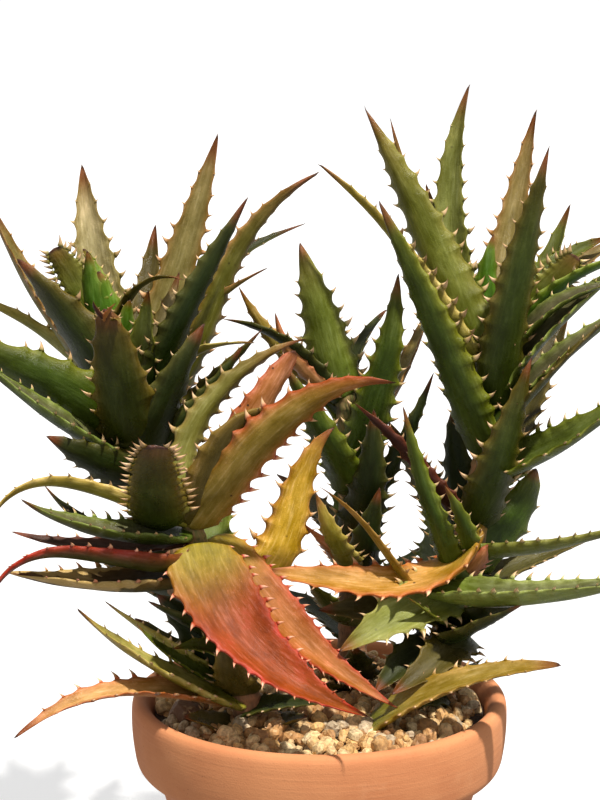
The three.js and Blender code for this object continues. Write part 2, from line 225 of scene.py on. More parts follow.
# %% Leaf colour
def leaf_colour(material, flush_colour, blemish, patch):
    """The colour socket of a leaf, and the streaks and clouds that its relief uses too."""
    tone = add(material, "Attribute", 0, {"attribute_name": "tone"})
    skin = add(material, "Attribute", 1, {"attribute_name": "skin"})
    flush = add(material, "Attribute", 2, {"attribute_name": "flush"})
    place = add(material, "TexCoord", 3)
    streak_place = add(material, "Mapping", Vector=skin, Scale=(1.0, 0.09, 1.0))
    cloud_place = add(material, "Mapping", Vector=skin, Scale=(1.0, 0.45, 1.0))

    clouds = noise(material, cloud_place, 95, 6, 0.66)
    shade = add(material, "HueSaturation", Color=tone, Saturation=1.1, Value=0.62)
    colour = mix(material, ramp(material, clouds, 0.40, 0.68), tone, shade)
    light = add(material, "HueSaturation", Color=tone, Hue=0.49, Saturation=0.95, Value=1.5)
    colour = mix(material, ramp(material, clouds, 0.46, 0.30, 0.0, 0.65), colour, light)

    edge = arithmetic(material, "MULTIPLY_ADD", flush, -0.42, 0.72)
    above = arithmetic(material, "SUBTRACT", noise(material, cloud_place, 60, 4, 0.6), edge)
    strength = arithmetic(material, "POWER", flush, 0.5)
    blush = arithmetic(material, "MULTIPLY", ramp(material, above, 0.0, patch), strength)
    colour = mix(material, blush, colour, flush_colour)

    streaks = noise(material, streak_place, 560, 4)
    streaked = add(material, "HueSaturation", Color=colour, Saturation=0.86, Value=1.5)
    colour = mix(material, ramp(material, streaks, 0.50, 0.70, 0.0, 0.6), colour, streaked)
    darker = add(material, "HueSaturation", Color=colour, Saturation=1.08, Value=0.7)
    colour = mix(material, ramp(material, streaks, 0.48, 0.32, 0.0, 0.5), colour, darker)

    flecks = add(material, "TexVoronoi", Vector=skin, Scale=300.0, Randomness=1.0)
    colour = mix(material, ramp(material, flecks, 0.20, 0.08, 0.0, 0.4), colour, streaked)
    spots = add(material, "TexVoronoi", Vector=skin, Scale=95.0, Randomness=1.0)
    gate = ramp(material, noise(material, place, 26, 2), 0.52, 0.60, 0.0, blemish)
    spot = arithmetic(material, "MULTIPLY", ramp(material, spots, 0.12, 0.06), gate)
    return mix(material, spot, colour, rgb(44, 26, 16)), streaks, clouds


# %% Leaf material
def leaf_material(name, roughness, gloss, flush_colour, blemish, patch=0.10):
    """Waxy skin: patches of smoother wax, a shallow relief, and a little light let through."""
    material, shader = new_material(name)
    colour, streaks, clouds = leaf_colour(material, flush_colour, blemish, patch)
    set_input(shader.inputs["Base Color"], colour)

    wax = noise(material, add(material, "TexCoord", 3), 70, 3)
    rough = ramp(material, wax, 0.3, 0.7, roughness - 0.06, roughness + 0.14)
    set_input(shader.inputs["Roughness"], rough)
    shader.inputs["Specular IOR Level"].default_value = gloss
    shader.inputs["Subsurface Weight"].default_value = 0.05
    shader.inputs["Subsurface Radius"].default_value = (0.004, 0.004, 0.001)
    shader.inputs["Subsurface Scale"].default_value = 0.6

    pores = noise(material, add(material, "Attribute", 1, {"attribute_name": "skin"}), 2400, 2)
    relief = arithmetic(material, "MULTIPLY_ADD", streaks, 1.1, pores)
    relief = arithmetic(material, "MULTIPLY_ADD", clouds, 3.0, relief)
    bump = add(material, "Bump", Height=relief, Strength=0.45, Distance=0.0007)
    set_input(shader.inputs["Normal"], bump)
    return material


green_skin = leaf_material("waxy green skin", 0.28, 0.22, rgb(112, 70, 30), 0.4)
olive_skin = leaf_material("bronzed olive skin", 0.28, 0.22, rgb(118, 66, 28), 0.4)
ochre_skin = leaf_material("sun-bleached ochre skin", 0.30, 0.28, rgb(158, 84, 42), 0.7)
orange_skin = leaf_material("orange skin", 0.34, 0.20, rgb(170, 58, 30), 0.9)
red_skin = leaf_material("flushed red skin", 0.34, 0.20, rgb(166, 42, 16), 0.9)
old_skin = leaf_material("weathered skin", 0.45, 0.25, rgb(178, 148, 88), 0.7, 0.03)
SKINS = {}
for leaf_skin, tone_names in (
    (green_skin, "green fresh dark pale sage lime slate trough"),
    (olive_skin, "olive umber"),
    (ochre_skin, "ochre amber yellow salmon"),
    (orange_skin, "orange coral"),
    (red_skin, "ember rose red crimson maroon"),
    (old_skin, "weathered"),
):
    SKINS.update(dict.fromkeys(tone_names.split(), leaf_skin))
print("tones:", len(SKINS), "leaf skins:", len(set(SKINS.values())))

# %% [markdown]
# ## The tones of a leaf
# The green leaves grew in shade, the bronzed and red ones in full sun or drought. Each tone below
# has six colours: the base, the body, the upper part, the margin, the underside and the channel of
# the upper face. The channel colour is partly the skin's own and partly painted sky reflection and
# shade in the hollow. The last number says how much of the leaf is flushed.

# %% Tones
TONES = {
    "green": ((92, 106, 26), (60, 78, 14), (82, 86, 22),
              (118, 120, 38), (54, 72, 12), (92, 100, 42), 0.08),
    "fresh": ((90, 124, 28), (66, 112, 20), (92, 112, 28),
              (132, 140, 54), (76, 112, 20), (104, 138, 54), 0.0),
    "olive": ((60, 72, 12), (50, 60, 11), (72, 60, 17),
              (106, 88, 34), (46, 56, 9), (84, 74, 36), 0.14),
    "umber": ((80, 78, 20), (78, 68, 24), (96, 78, 30),
              (140, 112, 48), (74, 62, 20), (110, 92, 42), 0.2),
    "ochre": ((88, 98, 26), (102, 98, 32), (124, 90, 40),
              (152, 106, 54), (102, 100, 32), (142, 126, 76), 0.26),
    "amber": ((114, 118, 32), (140, 118, 40), (140, 102, 40),
              (162, 124, 58), (126, 112, 34), (148, 122, 56), 0.12),
    "yellow": ((184, 172, 52), (216, 172, 56), (140, 92, 36),
               (184, 118, 54), (204, 160, 50), (214, 174, 80), 0.10),
    "orange": ((150, 140, 42), (190, 134, 48), (184, 124, 56),
               (192, 96, 54), (164, 110, 38), (180, 132, 64), 0.22),
    "ember": ((158, 136, 38), (160, 90, 34), (152, 100, 52),
              (176, 60, 44), (144, 80, 30), (160, 98, 44), 0.58),
    "coral": ((124, 118, 44), (134, 112, 44), (164, 92, 44),
              (176, 78, 46), (128, 108, 42), (156, 128, 72), 0.2),
    "rose": ((190, 140, 84), (204, 142, 92), (196, 122, 80),
             (176, 84, 56), (190, 124, 76), (212, 162, 118), 0.15),
    "salmon": ((178, 134, 72), (178, 124, 72), (166, 98, 60),
               (178, 100, 62), (168, 116, 68), (190, 148, 94), 0.16),
    "red": ((142, 126, 24), (140, 54, 12), (148, 86, 34),
            (168, 56, 32), (128, 54, 12), (144, 66, 18), 0.74),
    "crimson": ((70, 78, 24), (66, 66, 22), (126, 48, 28),
                (158, 44, 30), (60, 58, 20), (112, 84, 56), 0.5),
    "maroon": ((66, 40, 24), (54, 24, 18), (52, 26, 18),
               (110, 56, 34), (62, 30, 20), (72, 50, 36), 0.15),
    "weathered": ((64, 60, 22), (64, 52, 22), (90, 60, 32),
                  (150, 112, 60), (50, 54, 18), (92, 70, 46), 1.0),
    "pale": ((108, 124, 48), (134, 126, 68), (150, 102, 58),
             (144, 122, 66), (116, 116, 48), (180, 164, 122), 0.06),
    "sage": ((90, 116, 34), (114, 118, 46), (124, 106, 46),
             (134, 130, 58), (100, 110, 38), (128, 132, 66), 0.06),
    "lime": ((150, 146, 46), (150, 142, 48), (164, 136, 54),
             (188, 164, 88), (126, 122, 40), (162, 154, 80), 0.12),
    "trough": ((116, 130, 48), (108, 116, 46), (108, 102, 50),
               (164, 168, 92), (120, 130, 52), (90, 84, 66), 0.04),
    "slate": ((62, 78, 20), (56, 66, 17), (72, 64, 26),
              (132, 142, 64), (54, 72, 15), (98, 90, 64), 0.04),
    # dark: green darkened for leaves that stand in shadow low in the crown, painted shade
    "dark": ((42, 56, 12), (34, 47, 9), (46, 48, 14),
             (84, 80, 30), (30, 43, 8), (54, 58, 28), 0.04),
}
RUSTY_END = (122, 62, 36)
DRY_POINT = (70, 42, 32)
HORN_PALE = (214, 180, 134)
HORN_FLUSHED = (224, 152, 122)
HORN_TIP = (132, 78, 52)
print("every tone has a skin:", set(TONES) == set(SKINS))

# %% [markdown]
# ## The shape of one leaf
# An aloe leaf is a fleshy blade: rounded below, hollowed into a shallow channel above, its margins
# raised. It could be carved from a subdivided box. A section carried along a curve is quicker to
# vary: the curve is the smooth one through the three or four points of the leaf's own row, and the
# section narrows and thins towards the point. Each margin swells a little where a tooth stands.

# %% Driving sizes of a leaf
LEAF_RINGS = 84
LEAF_SIDES = 22
DEPTH = 0.21          # bulge of the underside, as a part of the width
CROWN = 0.07          # rise of the upper face
CUP = 0.14            # how far the margins are raised over the midrib
CHANNEL = 0.15        # depth of the channel in the upper face
TAPER = 0.82          # power of the outline: low is blunt
TOOTH_PITCH = 12.6 * MM
TOOTH_HEIGHT = 6.6 * MM
TOOTH_FOOT = 0.52     # part of a tooth that is leaf, the rest is horn
SMALLEST_TOOTH = 1.2 * MM


def blade(at, wide, tone, face=None, roll=0.0, twist=0.0, taper=TAPER, depth=DEPTH, cup=CUP, teeth=1.0,
          pitch=1.0):
    """One row of the leaf list: points in millimetres, width, tone, the compass direction that the
    underside faces when upright, the roll about the midrib, how much further its base is rolled,
    the power of its outline, its bulge, how far its margins are raised, and how big and how far
    apart its teeth are."""
    return {"at": np.array(at, float) * MM, "wide": wide * MM, "tone": tone, "face": face, "roll": roll,
            "twist": twist, "taper": taper, "depth": depth, "cup": cup, "teeth": teeth, "pitch": pitch}


print("points around and along a leaf:", LEAF_SIDES, LEAF_RINGS)


# %% Curve through a few points
def curve_through(points):
    """The polynomial that meets each point at its chord length, as a function of t in 0..1."""
    knots = np.concatenate([[0], np.cumsum(np.linalg.norm(np.diff(points, axis=0), axis=1))])
    knots = knots / knots[-1]

    def curve(t):
        t = np.asarray(t, float)[..., None]
        total = 0
        for i, knot in enumerate(knots):
            others = np.delete(knots, i)
            total = total + np.prod((t - others) / (knot - others), axis=-1)[..., None] * points[i]
        return total

    return curve


def leaf_frame(leaf, t):
    """Directions along the leaf, across it and out of its underside at each t. Across starts level
    and square to the way the underside faces, and is then turned about the midrib by the roll, the
    twist of the base and the warp."""
    step = 0.01
    along = unit(leaf["curve"](np.minimum(t + step, 1)) - leaf["curve"](np.maximum(t - step, 0)))
    run = leaf["at"][-1] - leaf["at"][0]
    face = math.atan2(run[1], run[0]) if leaf["face"] is None else math.radians(leaf["face"])
    across = np.array([-math.sin(face), math.cos(face), 0.0])
    across = unit(across - (along @ across)[..., None] * along)
    turn = leaf["roll"] + leaf["twist"] * (1 - t) ** 2 + leaf["warp"] * np.sin(np.pi * t)
    turn = np.radians(turn)[..., None]
    across = across * np.cos(turn) + np.cross(along, across) * np.sin(turn)
    return along, across, np.cross(across, along)


def swayed(leaf, t, across, under):
    """The midrib at each t, pushed a little off its curve by two slow waves."""
    middle = leaf["curve"](t) + across * (leaf["sway"][0] * np.sin(2.2 * np.pi * t))[:, None]
    return middle + under * (leaf["sway"][1] * np.sin(1.7 * np.pi * t))[:, None]


quarter_arc = curve_through(np.array([[1, 0, 0], [0.707, 0.707, 0], [0, 1, 0]]))
print("a curve through three points of a quarter circle, at a quarter:", quarter_arc([0.25]).round(3))


# %% Width, thickness and raised margins
def half_width(t, leaf):
    """Half the width times 1 - t to the power of the taper, times a slow rise that keeps the lower
    part full, and rounded in at the very base."""
    root = 0.45 + 0.55 * np.sqrt(1 - (1 - np.clip(t / 0.07, 0, 1)) ** 2)
    full = (1 - t) ** leaf["taper"] * (1 + (leaf["taper"] - 0.2) * t) * np.minimum(1, 0.75 + 2 * t)
    return leaf["wide"] / 2 * full * root


def fatness(t, leaf):
    """Thickness as a part of that at the base: the power 0.55 of 1 - t, times the square root of
    the width over the width that a leaf with a taper of 0.55 would have there."""
    return (1 - t) ** 0.55 * (half_width(t, leaf) / half_width(t, {**leaf, "taper": 0.55})) ** 0.5


def margin_lift(t, leaf):
    """How far the margins are raised: the cup as a part of the width, times the fatness, growing
    from nothing at the base."""
    return leaf["cup"] * leaf["wide"] * fatness(t, leaf) * smoothstep(0.0, 0.25, t)


sample = blade([[0, 0, 0], [0, 0, 100]], 30, "green")
print("half width along a 30 mm leaf, in mm:", (half_width(np.linspace(0, 0.9, 4), sample) / MM).round(1))


# %% Where the teeth stand
def tooth_places(leaf, rng):
    """Evenly spaced places with some jitter along one margin, and the size of the tooth at each:
    small at the base, biggest low on the blade, and small again at the point. On a blunt leaf the
    teeth stay big all the way round."""
    spacing = TOOTH_PITCH * leaf["pitch"] * (0.62 + 0.38 * leaf["wide"] / 0.03)
    count = max(4, round(leaf["length"] * 0.93 / spacing))
    blunt = min(1, max(0, (0.55 - leaf["taper"]) / 0.2))
    t = (np.arange(count) + 0.55 + rng.uniform(-0.2, 0.2, count)) / count * 0.955
    t = 1 - (1 - t) ** (1 + 0.75 * blunt)
    size = TOOTH_HEIGHT * leaf["teeth"] * (leaf["wide"] / 0.032) ** 0.5
    size = size * rng.uniform(0.78, 1.18, count)
    slim = (0.58 + 0.5 * np.sin(np.pi * t ** 0.8)) * (1 - t ** 3.2)
    size = size * (slim + (1 - slim) * blunt)
    grown = size > SMALLEST_TOOTH
    return t[grown], size[grown]


def margin_rise(t, places, size, leaf):
    """How far the margin stands out at each t: the foot of the tooth times the power 1.6 of how
    near it is, which gives it two hollow flanks."""
    gap = np.abs(t[:, None] - places[None]) * leaf["length"] / (0.50 * TOOTH_PITCH * leaf["pitch"])
    return (size * TOOTH_FOOT * np.clip(1 - gap, 0, 1) ** 1.6).max(1)


def with_chance(row, rng):
    """The row with its curve and length, and with what chance adds: a warp, a sway, the phases of
    its ripples, a shade, the teeth of both margins and where its skin pattern starts."""
    curve = curve_through(row["at"])
    length = np.linalg.norm(np.diff(curve(np.linspace(0, 1, 60)), axis=0), axis=1).sum()
    leaf = {**row, "curve": curve, "length": length, "warp": rng.uniform(-8, 8)}
    leaf["sway"] = rng.uniform(-1, 1, 2) * length * 0.006
    leaf["phase"] = rng.uniform(0, 2 * np.pi, 4)
    leaf["shade"] = (1 + rng.uniform(-0.09, 0.09)) * (1 + rng.uniform(-0.04, 0.04, 3))
    leaf["margins"] = [tooth_places(leaf, rng) for _ in range(2)]
    leaf["skin_start"] = rng.uniform(0, 1)
    return leaf


sample = with_chance(sample, np.random.default_rng(0))
print("teeth on each margin of a 100 mm leaf:", [len(places) for places, _ in sample["margins"]])


# %% Section of a leaf
def leaf_section(leaf, t, a):
    """How far each point lies across the leaf and towards its underside. Across is the outline
    times cos a, plus the swelling under each tooth. The underside bulges by the power 0.85 of
    sin a; the upper face rises by the power 0.7, less the channel. Ripples, dents and the raised
    margins are added to both."""
    x = np.cos(a)[None]
    flat = np.abs(np.sin(a))[None]
    along = t[:, None]
    rise = [margin_rise(t, places, size, leaf) for places, size in leaf["margins"]]
    swelling = np.where(x > 0, rise[0][:, None], -rise[1][:, None]) * np.abs(x) ** 5
    reach = half_width(t, leaf)[:, None] * x + swelling

    wide, phase = leaf["wide"], leaf["phase"]
    fat = fatness(t, leaf)[:, None]
    lower = wide * leaf["depth"] * fat * flat ** 0.85
    hollow = CHANNEL * smoothstep(0.02, 0.5, along) * (1 - x ** 2) ** 1.6
    upper = wide * fat * (CROWN * flat ** 0.7 - hollow)
    waves = 2 * np.pi * along * (2.4 + 0.8 * np.sin(phase[0]))
    ripple = 0.018 * wide * np.abs(x) ** 3 * np.sin(waves + np.where(x > 0, phase[1], phase[2]))
    dent = 0.012 * wide * np.sin(11 * along + phase[3]) * np.cos(3 * a[None] + 7 * along)
    lift = np.where(np.sin(a)[None] < 0, lower + dent, -upper) + ripple
    return reach, lift - margin_lift(t, leaf)[:, None] * (x ** 2 - 0.35)


across_leaf, down_leaf = leaf_section(sample, np.array([0.3]), np.radians([0, 90, 180, 270]))
print("a section, across and down in mm:", (across_leaf / MM).round(1), (down_leaf / MM).round(1))


# %% Tone of every point of a leaf
def leaf_tones(leaf, t, a):
    """Base to body to upper part along the leaf, then the underside, the channel, the margins, and
    last the rusty and the dry end. The flush grows towards the margins and the point."""
    base, body, upper, margin, below, channel = (linear(c) for c in TONES[leaf["tone"]][:6])
    x = np.cos(a)[None]
    s = np.sin(a)[None]
    along = t[:, None]
    tone = base + (body - base) * smoothstep(0.0, 0.38, along)[..., None]
    tone = tone + (upper - tone) * (0.85 * smoothstep(0.50, 0.97, along))[..., None]
    tone = tone * np.ones((1, len(a), 1))
    is_below = 0.7 * smoothstep(0.1, -0.4, s) * (1 - smoothstep(0.5, 1.0, along))
    tone = tone + (below - tone) * is_below[..., None]
    # the channel colour: the skin's own, greyed by painted sky reflection and shade in the hollow
    in_channel = smoothstep(0.05, 0.45, s) * (1 - x ** 8) * smoothstep(0.05, 0.4, along)
    in_channel = 0.75 * in_channel * (1 - smoothstep(0.75, 1.0, along))
    tone = tone + (channel - tone) * in_channel[..., None]
    at_margin = np.abs(x) ** 5 * (0.25 + 0.6 * smoothstep(0.0, 0.45, along))
    tone = (tone + (margin - tone) * at_margin[..., None]) * leaf["shade"]
    rust = 0.75 * min(1, leaf["taper"] ** 2 / 0.4)
    tone = tone + (linear(RUSTY_END) - tone) * (rust * smoothstep(0.86, 0.96, along))[..., None]
    tone = tone + (linear(DRY_POINT) - tone) * smoothstep(0.965, 0.99, along)[..., None]
    flush = TONES[leaf["tone"]][6] * (0.35 + 0.65 * x ** 2) * smoothstep(0.02, 0.55, along)
    return tone, flush


sample_tone, _ = leaf_tones(sample, np.array([0.0, 0.5, 1.0]), np.radians([90]))
print("tone at the base, the middle and the point:", sample_tone[:, 0].round(3).tolist())


# %% The blade
def blade_part(leaf):
    """The section carried along the midrib, with a ring at every tooth so that none is missed."""
    teeth_at = [places for places, _ in leaf["margins"]]
    t = np.sort(np.concatenate([np.linspace(0, 0.985, LEAF_RINGS)] + teeth_at))
    t = t[np.concatenate([[True], np.diff(t) > 0.002])]
    a = 2 * np.pi * np.arange(LEAF_SIDES) / LEAF_SIDES
    along, across, under = leaf_frame(leaf, t)
    reach, lift = leaf_section(leaf, t, a)
    middle = swayed(leaf, t, across, under)
    ring = middle[:, None] + across[:, None] * reach[..., None] + under[:, None] * lift[..., None]
    base, point = leaf["curve"]([0.0]) - along[:1] * MM, leaf["curve"]([1.0])
    tone, flush = leaf_tones(leaf, t, a)
    start, length = leaf["skin_start"], leaf["length"]
    skin = np.stack([reach, (t * length)[:, None] + 0 * reach, start + lift], -1)
    quads, tris = tube_faces(len(t), LEAF_SIDES)
    return {"points": np.concatenate([ring.reshape(-1, 3), base, point]), "quads": quads, "tris": tris,
            "tone": np.concatenate([tone.reshape(-1, 3), [tone[0, 0], linear(DRY_POINT)]]),
            "skin": np.concatenate([skin.reshape(-1, 3), [[0, 0, start], [0, length, start]]]),
            "flush": np.concatenate([flush.ravel(), [0, 0]])}


print("points of a blade:", len(blade_part(sample)["points"]))

# %% [markdown]
# ## Teeth
# The teeth are what makes this plant an aloe from across the room. On the plant each is a drop of
# horn on a swelling of the leaf. Here it is a flattened cone whose base melts into the margin and
# whose point hooks towards the tip of the leaf. Single cones could be copied along the margin, but
# then none would fit its slope; all teeth of one margin are worked out together as one array, tooth
# by ring by side.

# %% Teeth along one margin
TOOTH_RINGS = 5
TOOTH_SIDES = 6
SUNK = 1.3 * MM       # how deep a cone starts inside the margin


def teeth_part(leaf, hand, places, size):
    """Cones square to the outline on the raised margin, leaning towards the tip by the square of
    their height, with a radius that falls from base to point."""
    along, across, under = leaf_frame(leaf, places)
    half = half_width(places, leaf)
    foot = swayed(leaf, places, across, under) + across * (hand * (half + TOOTH_FOOT * size - SUNK))[:, None]
    foot = foot - under * (0.65 * margin_lift(places, leaf))[:, None]
    step = 0.005
    slope = (half_width(places + step, leaf) - half_width(places - step, leaf)) / (2 * step * leaf["length"])
    slope = np.clip(slope, -2.5, 0.1)
    out = unit(across * hand - along * slope[:, None] - under * (0.08 + 2.2 * leaf["cup"]))
    level = unit(np.cross(under, out)) * hand
    tall = (size * 0.74 + SUNK)[:, None]

    s = np.linspace(0, 0.94, TOOTH_RINGS)[None, :, None]
    a = 2 * np.pi * np.arange(TOOTH_SIDES) / TOOTH_SIDES
    spine = foot[:, None] + out[:, None] * tall[:, None] * s + along[:, None] * tall[:, None] * 0.50 * s ** 2
    radius = (1 - s) ** 1.05
    long_way = (size * 0.33)[:, None, None] * radius * np.cos(a)
    thin_way = (size * 0.18)[:, None, None] * radius * np.sin(a) * hand
    ring = spine[:, :, None] + level[:, None, None] * long_way[..., None]
    ring = ring + under[:, None, None] * thin_way[..., None]
    start = foot - out * 0.3 * MM
    end = foot + out * tall * 1.04 + along * tall * 0.56
    points = np.concatenate([ring.reshape(len(places), -1, 3), start[:, None], end[:, None]], 1)

    quads, tris = tube_faces(TOOTH_RINGS, TOOTH_SIDES)
    shift = (np.arange(len(places)) * points.shape[1])[:, None, None]
    up = np.concatenate([np.repeat(s, TOOTH_SIDES), [0, 1]])[:, None]
    margin, flushed = linear(TONES[leaf["tone"]][3]) * leaf["shade"], TONES[leaf["tone"]][6]
    horn = linear(HORN_PALE) + (linear(HORN_FLUSHED) - linear(HORN_PALE)) * min(1, 1.2 * flushed)
    tone = margin + (horn - margin) * smoothstep(0.05, 0.45, up)
    tone = tone + (linear(HORN_TIP) - tone) * smoothstep(0.7, 0.98, up)
    skin = np.stack([hand * half, places * leaf["length"], leaf["skin_start"] + 0 * places], -1)
    return {"points": points.reshape(-1, 3), "quads": (quads[None] + shift).reshape(-1, 4),
            "tris": (tris[None] + shift).reshape(-1, 3), "tone": np.tile(tone, (len(places), 1)),
            "skin": np.repeat(skin, points.shape[1], 0), "flush": np.zeros(len(places) * points.shape[1])}


def leaf_parts(row, rng):
    """The blade and its two rows of teeth as mesh parts."""
    leaf = with_chance(row, rng)
    teeth = [teeth_part(leaf, hand, *margin) for hand, margin in zip((1, -1), leaf["margins"])]
    return [blade_part(leaf)] + teeth


print("points of one margin's teeth:", len(teeth_part(sample, 1, *sample["margins"][0])["points"]))

# %% [markdown]
# ## The leaves of each shoot
# Candelabra aloes turn each new leaf a little further round the stem. A spiral rule would give such
# a shoot, but every leaf of this plant has bent its own way, so each has a row of points of its own.
# In each shoot the first rows stand for the frame's leaves of the same number, and the rows after
# them are the younger and smaller leaves between.

